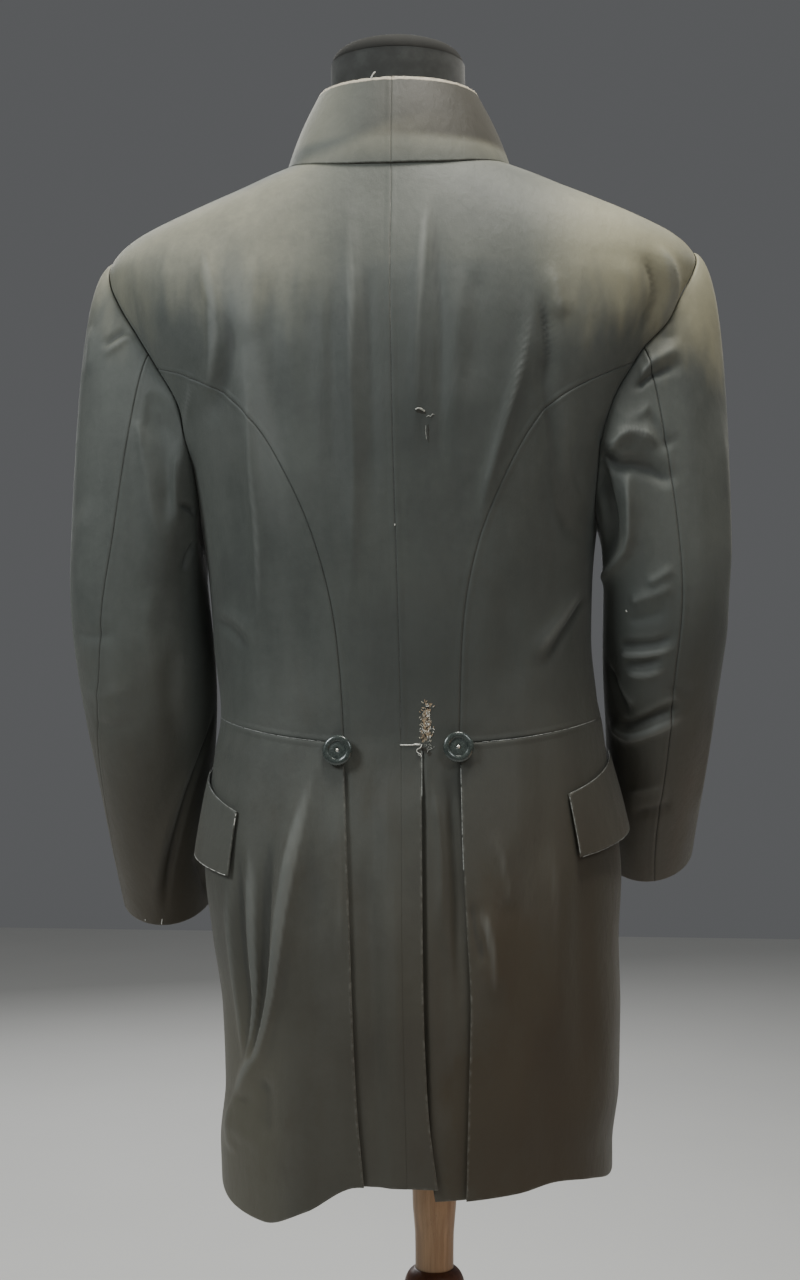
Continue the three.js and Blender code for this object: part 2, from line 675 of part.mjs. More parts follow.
function skirt(hand) {
  const side = sideOf[hand];
  const grid = skirtPlaces(hand, 12).map((row) => row.map(({ x: angle, y: z }) => {
    const across = sectionPoint(bodyRows, side, angle, z).x * side;
    const overPleat = Math.cos(angle) > 0 ? ramp(112, 82, across) : 0;
    return coatPoint(side, angle, z, pleatLift[hand] * overPleat);
  }));
  return clothPanel(`skirt_${hand}`, grid);
}

// Sleeve columns: the armhole angle each one starts at. The first seam is behind, the
// second in front.
const topSleeveColumns = [14, 25, 38, 54, 72, 90, 107, 124, 142, 160, 178, 196, 215];
const underSleeveColumns = [215, 237, 258, 278, 296, 314, 332, 350, 368, 374];
const sleeveSeams = { left: { behind: 18, before: 214 }, right: { behind: 6, before: 210 } };
// How far the left sleeve's back seam turns outwards below its head.
const seamTurnRows = [
  { share: 0, turn: 0 }, { share: 0.2, turn: 10 }, { share: 0.44, turn: 26 },
  { share: 0.68, turn: 38 }, { share: 1, turn: 44 },
];
const capShares = [0, 0.06, 0.16, 0.3, 0.46, 0.64, 0.82, 1];
const lowerSleeveSteps = 8;
const headPuff = 15;

function sleeveFrame(hand, share) {
  const rows = sleeveRows[hand];
  const centres = rows.map((row) => new THREE.Vector3(sideOf[hand] * row.x, row.y, row.z));
  const curve = new THREE.CatmullRomCurve3(centres, false, 'centripetal');
  const numbered = rows.map((row, step) => ({ ...row, step }));
  const step = share * (rows.length - 1);
  const down = curve.getTangent(share);
  const over = new THREE.Vector3(sideOf[hand], 0, 0);
  over.addScaledVector(down, -over.dot(down)).normalize();
  const behind = new THREE.Vector3(0, 1, 0);
  behind.addScaledVector(down, -behind.dot(down)).normalize();
  return {
    centre: curve.getPoint(share),
    over: over.multiplyScalar(read(numbered, 'across', 'step', step)),
    behind: behind.multiplyScalar(read(numbered, 'deep', 'step', step)),
  };
}

function tubePoint(frame, degrees) {
  const point = frame.centre.clone();
  point.addScaledVector(frame.over, Math.sin(radians(degrees)));
  return hang(point.addScaledVector(frame.behind, Math.cos(radians(degrees))));
}

function sleeveCrease(hand, along, degrees) {
  let rise = 0;
  for (const fold of sleeveFolds[hand]) {
    const turn = THREE.MathUtils.euclideanModulo(degrees - fold.angle + 180, 360) - 180;
    const off = along - fold.along - (fold.slant * turn) / fold.reach;
    rise += fold.rise * Math.exp(-((off / fold.spread) ** 2) - (turn / fold.reach) ** 2);
  }
  return rise;
}

// Where each sleeve column lies round the tube, once its back seam has turned outwards.
function sleeveEnds(hand, turn) {
  const { before } = sleeveSeams[hand];
  const behind = sleeveSeams[hand].behind + turn;
  const spread = (from, to, count) => steps(count).map((share) => from + (to - from) * share);
  return [
    ...spread(behind, before, topSleeveColumns.length - 1),
    ...spread(before, behind + 360, underSleeveColumns.length - 1).slice(1, -1),
  ];
}

// The whole sleeve as closed rings of places, from the armhole to the cuff.
function sleeveRings(hand) {
  const side = sideOf[hand];
  const starts = [...topSleeveColumns, ...underSleeveColumns.slice(1, -1)];
  const ends = sleeveEnds(hand, 0);
  const base = sleeveFrame(hand, 0);
  const capEnd = capShares.length / (capShares.length + lowerSleeveSteps);
  const rings = capShares.map((share) => starts.map((start, c) => {
    const { angle, z } = armholeAngle(side, start);
    const seam = coatPoint(side, angle, z, 0).point;
    const point = seam.clone().lerp(tubePoint(base, ends[c]), share);
    const swell = Math.sin(Math.PI * Math.sqrt(share));
    const outward = Math.sin(radians(start + (ends[c] - start) * share));
    point.x += side * swell * (outward > 0 ? headPuff * outward : -1.5 * outward);
    point.y += 3 * swell * Math.cos(radians(start));
    return point;
  }));
  const turned = rings.map(() => ends);
  for (const share of steps(lowerSleeveSteps).slice(1)) {
    const frame = sleeveFrame(hand, share);
    const turn = hand === 'left' ? read(seamTurnRows, 'turn', 'share', share) : 0;
    turned.push(sleeveEnds(hand, turn));
    rings.push(turned.at(-1).map((degrees) => tubePoint(frame, degrees)));
  }
  const count = starts.length;
  const last = rings.length - 1;
  return rings.map((ring, r) => ring.map((point, c) => {
    const around = ring[(c + 1) % count].clone().sub(ring[(c + count - 1) % count]);
    const along = rings[Math.min(r + 1, last)][c].clone().sub(rings[Math.max(r - 1, 0)][c]);
    const normal = along.cross(around).multiplyScalar(-side).normalize();
    if (r === 0) {
      const { angle, z } = armholeAngle(side, starts[c]);
      const bodyNormal = sectionNormal(bodyRows, side, angle, z);
      normal.lerp(bodyNormal, ramp(-0.5, 0.3, Math.sin(radians(starts[c])))).normalize();
    }
    const share = r < capShares.length ? (capShares[r] * capEnd)
      : capEnd + ((1 - capEnd) * (r - capShares.length + 1)) / lowerSleeveSteps;
    if (r > 0) point.addScaledVector(normal, sleeveCrease(hand, share, turned[r][c]));
    return { point, normal };
  }));
}

function sleeve(hand) {
  const rings = sleeveRings(hand);
  const split = topSleeveColumns.length;
  clothPanel(`top_sleeve_${hand}`, rings.map((ring) => ring.slice(0, split)));
  clothPanel(`under_sleeve_${hand}`, rings.map((ring) => [...ring.slice(split - 1), ring[0]]));
}

// Standing collar, joined at the centre back and open in front.
const collarTopRows = [
  { turn: 0, half: 66, depth: 62, z: 1447 },
  { turn: 90, half: 66, depth: 62, z: 1448 },
  { turn: 130, half: 68, depth: 68, z: 1425 },
  { turn: 180, half: 70, depth: 71, z: 1385 },
];
const collarTurns = [...backNeckTurns, ...frontNeckTurns.toReversed().slice(1)];
const collarHeights = [0, 0.22, 0.5, 0.78, 1];
const collarRoll = 2.5;

function collar(hand) {
  const side = sideOf[hand];
  const rows = collarHeights.map((height) => collarTurns.map((turn) => {
    const { x, y: z } = neckPlace(turn);
    const angle = turn === 90 ? Math.PI / 2
      : angleAcross(bodyRows, side, x, z, turn > 90 ? 'front' : 'back');
    const lift = turn > 90 ? frontLift(hand, x) : 0;
    const foot = coatPoint(side, angle, z, lift).point;
    foot.z += seamGap / 2;
    const topZ = read(collarTopRows, 'z', 'turn', turn);
    const top = hang(new THREE.Vector3(
      side * read(collarTopRows, 'half', 'turn', turn) * Math.sin(radians(turn)),
      read(collarTopRows, 'depth', 'turn', turn) * Math.cos(radians(turn)),
      topZ,
    ));
    const point = foot.lerp(top, height);
    const out = new THREE.Vector3(side * Math.sin(radians(turn)), Math.cos(radians(turn)), 0);
    point.addScaledVector(out, collarRoll * Math.sin(Math.PI * height));
    return { point, normal: out.add(new THREE.Vector3(0, 0, 0.25)).normalize() };
  }));
  return clothPanel(`collar_${hand}`, rows);
}

// Slanted pocket flap, lying on the skirt and standing off it at its lower edge.
const flapRows = {
  left: { fromX: 131, toAngle: 96, topBack: 864, topFront: 897, lowBack: 814, lowFront: 829 },
  right: { fromX: 126, toAngle: 94, topBack: 880, topFront: 909, lowBack: 831, lowFront: 848 },
};
const flapLift = { top: 3, lowBack: 5, lowFront: 11 };

function pocketFlap(hand) {
  const side = sideOf[hand];
  const flap = flapRows[hand];
  const start = angleAcross(bodyRows, side, flap.fromX, flap.topBack, 'back');
  const end = radians(flap.toAngle);
  const grid = steps(3).map((up) => steps(5).map((over) => {
    const low = flap.lowBack + (flap.lowFront - flap.lowBack) * over;
    const high = flap.topBack + (flap.topFront - flap.topBack) * over;
    const z = low + (high - low) * up;
    const lowLift = flapLift.lowBack + (flapLift.lowFront - flapLift.lowBack) * over;
    const lift = lowLift + (flapLift.top - lowLift) * up;
    const slant = 0.03 * (1 - up);
    return coatPoint(side, start + slant + (end - start) * over, z, lift);
  }));
  return clothPanel(`pocket_flap_${hand}`, grid, 1.8);
}

// Shanked coat button with a raised rim.
const buttonRadius = 11.8;
const buttonProfile = [
  [0, 0], [3, 0], [3, 1.3], [9.5, 1.6], [buttonRadius, 2.7], [buttonRadius, 4],
  [10.7, 5], [8.6, 4.4], [7.4, 4], [3, 4.6], [0, 4.7],
];

function button(name, side, angle, z, lift) {
  const points = buttonProfile.map(([radius, height]) => new THREE.Vector2(radius, height));
  const mesh = add(name, new THREE.LatheGeometry(points, 16), horn);
  const { point, normal } = coatPoint(side, angle, z, lift + seamGap);
  mesh.position.copy(point);
  mesh.quaternion.setFromUnitVectors(new THREE.Vector3(0, 1, 0), normal);
  return mesh;
}

// A closed solid of stacked rings.
function stackedRings(rings) {
  const count = rings[0].length;
  const positions = rings.flat().flatMap((point) => [point.x, point.y, point.z]);
  const faces = [];
  for (let r = 0; r < rings.length - 1; r += 1) {
    for (let c = 0; c < count; c += 1) {
      const a = r * count + c;
      const b = r * count + ((c + 1) % count);
      faces.push(a, b, b + count, a, b + count, a + count);
    }
  }
  for (const [ring, turned] of [[0, true], [rings.length - 1, false]]) {
    const first = ring * count;
    for (let c = 1; c < count - 1; c += 1) {
      if (turned) faces.push(first, first + c + 1, first + c);
      else faces.push(first, first + c, first + c + 1);
    }
  }
  const geometry = new THREE.BufferGeometry();
  geometry.setAttribute('position', new THREE.Float32BufferAttribute(positions, 3));
  geometry.setIndex(faces);
  return geometry;
}

const formSides = 28;

function formTorso() {
  const rings = formRows.map((row) => steps(formSides).slice(0, -1).map((share) => (
    hang(sectionPoint(formRows, 1, -2 * Math.PI * share, row.z))
  )));
  return add('form_torso', stackedRings(rings), formCloth);
}

const neckTopZ = 1474;
const neckRadius = 54.5;
const capHeight = 17;

function neckCap() {
  const rim = steps(6).map((share) => {
    const turn = (Math.PI / 2) * share;
    return new THREE.Vector2(neckRadius * Math.cos(turn) ** 0.8, 2 + (capHeight - 2) * Math.sin(turn));
  });
  rim[rim.length - 1].x = 0;
  const points = [new THREE.Vector2(0, 0), new THREE.Vector2(neckRadius, 0), ...rim];
  const mesh = add('neck_cap', new THREE.LatheGeometry(points, 28), capCloth);
  mesh.rotation.x = Math.PI / 2;
  mesh.position.copy(hang(new THREE.Vector3(0, 0, neckTopZ + seamGap)));
  return mesh;
}

// Wooden stand: a pole, a hub round it and three splayed legs.
const poleTopZ = 639.7;
const poleRadius = 18.4;
const poleWaistRadius = 15.8;
const hubTopZ = 482;
const hubLowZ = 430;
const hubRadius = 25.5;
const legWidth = 24;
const legReach = 335;

function turned(name, profile, material) {
  const points = profile.map(([radius, z]) => new THREE.Vector2(radius, z));
  const mesh = add(name, new THREE.LatheGeometry(points, 24), material);
  mesh.rotation.x = Math.PI / 2;
  return mesh;
}

function stand() {
  turned('pole', [
    [0, 0], [poleWaistRadius, 0], [poleWaistRadius, 492], [16, 508], [16.9, 521], [18, 535],
    [poleRadius, 560], [poleRadius, poleTopZ], [0, poleTopZ],
  ], beech);
  const bore = poleWaistRadius + seamGap;
  turned('stand_hub', [
    [bore, hubLowZ], [hubRadius, hubLowZ], [hubRadius, hubTopZ - 18], [hubRadius - 1.2, hubTopZ - 10],
    [hubRadius - 4, hubTopZ - 3.5], [hubRadius - 7.5, hubTopZ], [bore, hubTopZ], [bore, hubLowZ],
  ], stainedWood);
  const legStart = hubRadius + seamGap;
  const profile = [
    [legStart, hubLowZ + 6], [legReach - 34, 0], [legReach, 0], [legReach, 10],
    [legStart + 14, hubTopZ - 26], [legStart + 6, hubTopZ - 20], [legStart, hubTopZ - 20],
  ];
  const shape = new THREE.Shape(profile.map(([reach, z]) => new THREE.Vector2(reach, z)));
  ['front', 'left', 'right'].forEach((name, i) => {
    const geometry = new THREE.ExtrudeGeometry(shape, { depth: legWidth, bevelEnabled: false });
    geometry.translate(0, 0, -legWidth / 2);
    const mesh = add(`stand_leg_${name}`, geometry, stainedWood);
    mesh.rotation.set(Math.PI / 2, 0, 0);
    mesh.rotation.order = 'ZXY';
    mesh.rotation.z = -Math.PI / 2 + (i * 2 * Math.PI) / 3;
  });
}

// Building the coat and its stand
for (const hand of ['left', 'right']) {
  back(hand);
  sideBody(hand);
  forepart(hand);
  skirt(hand);
  sleeve(hand);
  collar(hand);
  pocketFlap(hand);
}

const backButtons = { left: { x: 48.7, z: 914 }, right: { x: 43.6, z: 917 } };
for (const hand of ['left', 'right']) {
  const { x, z } = backButtons[hand];
  const angle = angleAcross(bodyRows, sideOf[hand], x, z, 'back');
  button(`back_button_${hand}`, sideOf[hand], angle, z, pleatLift[hand]);
}

const frontButtonCount = 5;
const frontButtonTopZ = 1282;
const frontButtonPitch = 80;
for (let i = 0; i < frontButtonCount; i += 1) {
  button(`front_button_${i + 1}`, 1, Math.PI, frontButtonTopZ - i * frontButtonPitch, lapLift);
}

formTorso();
neckCap();
stand();

export default figure;
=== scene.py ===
import math

import bpy
import bmesh
import numpy as np
from mathutils import Matrix, Vector


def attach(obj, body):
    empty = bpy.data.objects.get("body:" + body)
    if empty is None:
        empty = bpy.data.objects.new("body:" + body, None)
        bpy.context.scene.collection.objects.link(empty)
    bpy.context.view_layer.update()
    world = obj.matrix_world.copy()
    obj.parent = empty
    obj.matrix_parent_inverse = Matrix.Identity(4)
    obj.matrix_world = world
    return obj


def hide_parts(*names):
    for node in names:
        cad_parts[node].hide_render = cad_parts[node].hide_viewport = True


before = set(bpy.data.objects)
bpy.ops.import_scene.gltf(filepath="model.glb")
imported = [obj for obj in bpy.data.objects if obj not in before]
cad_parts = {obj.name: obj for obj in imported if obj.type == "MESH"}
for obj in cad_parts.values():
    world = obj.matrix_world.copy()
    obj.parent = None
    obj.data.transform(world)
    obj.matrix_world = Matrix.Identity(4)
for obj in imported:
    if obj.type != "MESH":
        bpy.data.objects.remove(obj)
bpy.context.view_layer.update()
print("frame loaded:", len(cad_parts), "nodes")

# Sizes are millimetres, until a mesh is made. The coat faces -Y and its left is +X.
coatSizes = {
    "clothWall": 2.0,
    "flapWall": 1.8,
    "seamGap": 0.24,
    "seamDip": 0.3,
    "flushDip": 0.06,
    "flushAway": 0.45,
    "seamReach": 1.7,
    "creaseShare": 0.94,
    "noEdge": 50.0,
    "crestReach": 7.0,
    "waistZ": 919.0,
    "waistRise": 18.0,
    "ventTopZ": 915.5,
    "lapTopZ": 919.5,
    "sideNeckZ": 1388.0,
    "shoulderTipZ": 1316.0,
    "armpitZ": 1092.0,
    "poleToCoat": 20.6,
    "lean": 0.0209,
    "leanZ": 1000.0,
    "foldDepth": 1.3,
    "foldFadeShare": (0.998, 0.94),
    "wavesPerTurn": 150,
    "waveFadeZ": (1385, 1340),
    "shoulderEase": 13.0,
    "easeStartZ": (1268, 1304),
    "easeEndZ": (1388, 1362),
    "seamEase": 22,
    "underarmTurn": (0.92, 1),
}


# Each table is read by column: z is a height, half a half width at the widest, back and front
# the depths behind and ahead of the middle, and square the power that squares the section.
def asTable(names, rows):
    return dict(zip(names.split(), np.array(rows, float).T))


bodyTable = asTable("z half back front square leftFuller", [
    (530, 160, 125, 116, 2.3, 3), (590, 161, 126, 117, 2.3, 3), (640, 161.5, 127, 118, 2.3, -3),
    (700, 163, 127, 118, 2.3, -4), (762, 167, 124, 117, 2.35, 0), (813, 171.5, 117, 116, 2.35, 1.5),
    (860, 168, 109, 113, 2.35, 2), (907, 161.5, 101, 108, 2.35, 2), (930, 157.5, 98, 106, 2.35, 1),
    (955, 155, 97, 105, 2.35, 3), (1000, 155.5, 100, 107, 2.3, 7), (1045, 157.5, 106, 112, 2.3, 7),
    (1092, 163, 112, 119, 2.3, 7), (1136, 173, 117, 123, 2.3, 6), (1188, 190, 120, 121, 2.25, 5),
    (1221, 206, 119.5, 116, 2.2, 5), (1248, 222, 118, 109, 2.1, 4), (1276, 237, 114, 98, 2, 3),
    (1300, 244.5, 108, 84, 1.95, 2), (1316, 245, 103, 75, 1.9, 1), (1329, 228, 98, 68, 1.9, 1),
    (1345, 200, 92, 63, 1.9, 0), (1355, 172, 88, 61, 1.9, 0), (1364, 150, 84, 59.5, 1.9, 0),
    (1375, 125, 80, 58, 1.9, 0), (1388, 90, 73, 56, 1.9, 0),
])
armholeTable = asTable("z behind before", [
    (1092, 1, 1), (1108, 0.965, 0.96), (1136, 0.938, 0.915), (1164, 0.914, 0.9),
    (1188, 0.912, 0.893), (1221, 0.932, 0.893), (1248, 0.946, 0.915), (1276, 0.966, 0.953),
    (1300, 0.988, 0.98), (1316, 1, 1),
])
neckTable = asTable("turn x z", [
    (0, 0, 1375), (20, 34, 1376.2), (40, 62, 1380), (60, 80, 1384), (75, 87.5, 1386.5),
    (90, 90, 1388), (110, 87, 1374), (130, 74, 1350), (150, 50, 1328), (165, 26, 1316),
    (180, 0, 1311),
])
sideBodyRows = [(45, 919), (47, 975), (52, 1030), (66, 1085), (84, 1127), (115, 1178), (157, 1205)]
underarmTable = asTable("z share", [(900, 0.945), (1020, 0.945), (1060, 0.96), (1094, 0.995)])
tailTable = asTable("z pleatLeft pleatRight lapEdge underEdge", [
    (560, 31, 43, 26, 23), (652, 37, 47, 17, 8), (728, 39, 50, 15.5, -4), (780, 40, 48, 15.5, -5),
    (840, 42, 46, 15.5, -5), (919, 45, 45, 16, -5),
])
hemTable = asTable("angle left right", [
    (-20, 583, 573), (0, 585, 574), (10, 585, 576), (25, 563, 580), (42, 547, 584),
    (60, 550, 579), (80, 562, 572), (95, 574, 576), (105, 590, 594), (114, 640, 640),
])
frontEdgeTable = asTable("z angle", [
    (560, 108), (640, 114), (720, 126), (800, 142), (870, 157), (930, 168.5),
])
sleeveTables = {
    "left": asTable("x y z across deep", [
        (226, 2, 1036, 57.5, 56), (223.5, -1, 995, 58, 55), (221.5, -7, 953, 56.5, 54),
        (222, -18, 915, 53, 52), (224, -40, 866, 47, 49), (226, -62, 822, 43, 47),
        (226, -88, 774, 40, 45),
    ]),
    "right": asTable("x y z across deep", [
        (212, 2, 1036, 51.5, 56), (208.5, -4, 998, 49.5, 54), (206, -16, 956, 46.5, 52),
        (205, -38, 914, 43, 49), (201, -68, 872, 42, 47), (198, -92, 842, 41.5, 46),
        (196, -110, 820, 41, 45),
    ]),
}
formTable = asTable("z half back front square", [
    (640, 130, 92, 88, 2.3), (700, 141, 100, 95, 2.3), (760, 150, 104, 100, 2.3),
    (813, 154, 101, 101, 2.3), (860, 152, 95, 99, 2.3), (907, 146, 88, 95, 2.3),
    (940, 142, 85, 93, 2.3), (1000, 140, 88, 96, 2.3), (1045, 142, 95, 101, 2.3),
    (1092, 148, 101, 108, 2.3), (1136, 156, 106, 112, 2.3), (1188, 165, 109, 110, 2.25),
    (1221, 170, 109, 105, 2.2), (1248, 174, 108, 99, 2.1), (1276, 178, 105, 88, 2),
    (1300, 181, 100, 75, 1.95), (1316, 182.5, 97, 67, 1.9), (1328, 183, 93.5, 61, 1.9),
    (1338, 182, 90, 58, 1.9), (1349, 171, 86, 55, 1.9), (1358, 149, 82.4, 52.5, 1.9),
    (1368.5, 118.5, 77, 49, 1.9), (1380, 85.5, 69.3, 48.5, 1.85), (1387, 77, 63, 51.5, 1.95),
    (1397, 67, 58, 54.5, 2), (1412, 60, 55.5, 54.5, 2), (1432, 55.5, 54.5, 54.5, 2),
    (1474, 55.5, 54.5, 54.5, 2),
])
sleeveSteps = 6
for table in sleeveTables.values():
    table["step"] = np.arange(sleeveSteps + 1.0)


# Smooth between a table's rows.
def read(table, column, at, key="z"):
    xs, ys = table[key], table[column]
    at = np.clip(at, xs[0], xs[-1])
    row = np.clip(np.searchsorted(xs, at) - 1, 0, len(xs) - 2)
    span = np.diff(xs)
    secant = np.diff(ys) / span
    slope = np.concatenate([secant[:1], np.zeros(len(xs) - 2), secant[-1:]])
    before, after = secant[:-1], secant[1:]
    same = before * after > 0
    slope[1:-1] = np.where(same, 2 * before * after / np.where(same, before + after, 1), 0)
    t = (at - xs[row]) / span[row]
    blend = t * t * (3 - 2 * t)
    leave = t * (1 - t) ** 2 * slope[row]
    arrive = t * t * (t - 1) * slope[row + 1]
    return ys[row] + (ys[row + 1] - ys[row]) * blend + span[row] * (leave + arrive)


# A smooth step from 0 at start to 1 at end.
def ramp(start, end, at):
    t = np.clip((at - start) / (end - start), 0, 1)
    return t * t * (3 - 2 * t)


def halfWidth(table, side, z):
    half = read(table, "half", z)
    return half + side * read(table, "leftFuller", z) if "leftFuller" in table else half


# A point of the table's section at a height: angle 0 is behind, a right angle is sideways.
def sectionPoint(table, side, angle, z):
    angle, z = np.broadcast_arrays(np.asarray(angle, float), np.asarray(z, float))
    power = 2 / read(table, "square", z)
    across, away = np.sin(angle), np.cos(angle)
    depth = np.where(away >= 0, read(table, "back", z), read(table, "front", z))
    x = halfWidth(table, side, z) * np.sign(across) * np.abs(across) ** power
    y = depth * np.sign(away) * np.abs(away) ** power
    return np.stack([side * x, y, z], -1)


def unit(vectors):
    return vectors / np.maximum(np.linalg.norm(vectors, axis=-1, keepdims=True), 1e-9)


# Which way the surface faces there.
def sectionNormal(table, side, angle, z):
    top = table["z"][-1]
    upper = np.minimum(z + 3, top)
    around = sectionPoint(table, side, angle + 0.03, z) - sectionPoint(table, side, angle - 0.03, z)
    along = sectionPoint(table, side, angle, upper) - sectionPoint(table, side, angle, upper - 6)
    return unit(np.cross(along, around) * side)


# The angle at which the body lies x from its middle, behind or in front.
def angleAcross(side, x, z, face="back"):
    share = np.minimum(np.abs(x) / halfWidth(bodyTable, side, z), 1)
    turn = np.sign(x) * np.arcsin(share ** (read(bodyTable, "square", z) / 2))
    return np.pi - turn if face == "front" else turn


# Moves the coat from its own middle to the pole's frame.
def hang(points):
    points = points.copy()
    points[..., 0] += coatSizes["poleToCoat"] + coatSizes["lean"] * (points[..., 2] - coatSizes["leanZ"])
    return points


def smoothPath(points, count=14):
    points = np.array(points, float)
    if len(points) < 3:
        share = np.linspace(0, 1, count)[:, None]
        return points[0] * (1 - share) + points[-1] * share
    padded = np.vstack([2 * points[0] - points[1], points, 2 * points[-1] - points[-2]])
    at = np.linspace(0, len(points) - 1, count)
    i = np.minimum(at.astype(int), len(points) - 2)
    t = (at - i)[:, None]
    p0, p1, p2, p3 = padded[i], padded[i + 1], padded[i + 2], padded[i + 3]
    return 0.5 * (2 * p1 + (p2 - p0) * t + (2 * p0 - 5 * p1 + 4 * p2 - p3) * t ** 2
                  + (3 * p1 - 3 * p2 + p3 - p0) * t ** 3)


# A fold is (path, width, rise), then a lean that above 1 makes its right hand side softer.
def foldRise(x, z, folds):
    rise = np.zeros(np.shape(x))
    for path, width, height, *lean in folds:
        lean = lean[0] if lean else 1
        line = smoothPath(path)
        reach = 3 * width * max(lean, 1 / lean)
        near = ((x > line[:, 0].min() - reach) & (x < line[:, 0].max() + reach)
                & (z > line[:, 1].min() - reach) & (z < line[:, 1].max() + reach))
        if not near.any():
            continue
        px, pz = x[near], z[near]
        best = np.full(px.shape, 1e9)
        along = np.zeros(px.shape)
        hand = np.zeros(px.shape)
        for i in range(len(line) - 1):
            step = line[i + 1] - line[i]
            length = step @ step
            t = np.clip(((px - line[i, 0]) * step[0] + (pz - line[i, 1]) * step[1]) / length, 0, 1)
            offX, offZ = px - line[i, 0] - t * step[0], pz - line[i, 1] - t * step[1]
            away = np.hypot(offX, offZ)
            closer = away < best
            best = np.where(closer, away, best)
            along = np.where(closer, (i + t) / (len(line) - 1), along)
            hand = np.where(closer, step[0] * offZ - step[1] * offX, hand)
        spread = width * np.where(hand > 0, 1 / lean, lean) * (0.75 + 0.5 * along)
        ends = ramp(0, 0.3, along) * ramp(1, 0.7, along)
        away = best / spread
        ridge = np.exp(0.72 - 1.6 * np.hypot(away, 0.45))
        rise[near] += height * ends * (ridge if height > 0 else np.exp(-away ** 2))
    return rise


rng = np.random.default_rng(7)
waveTable = [(rng.uniform(0.6, 1.6), rng.uniform(0, 6.28), rng.uniform(0, 6.28), rng.uniform(-1, 1))
             for _ in range(9)]


# Gentle unevenness of hanging cloth, longer down than across.
def unevenness(x, z, size=52.0, height=0.75):
    total = np.zeros(np.shape(x))
    for scale, phaseX, phaseZ, slant in waveTable:
        total += np.sin(x * scale / size * 2 + slant * z / size + phaseX
                        + 0.8 * np.sin(z * scale / (2.2 * size) + phaseZ))
    return height * total / 3


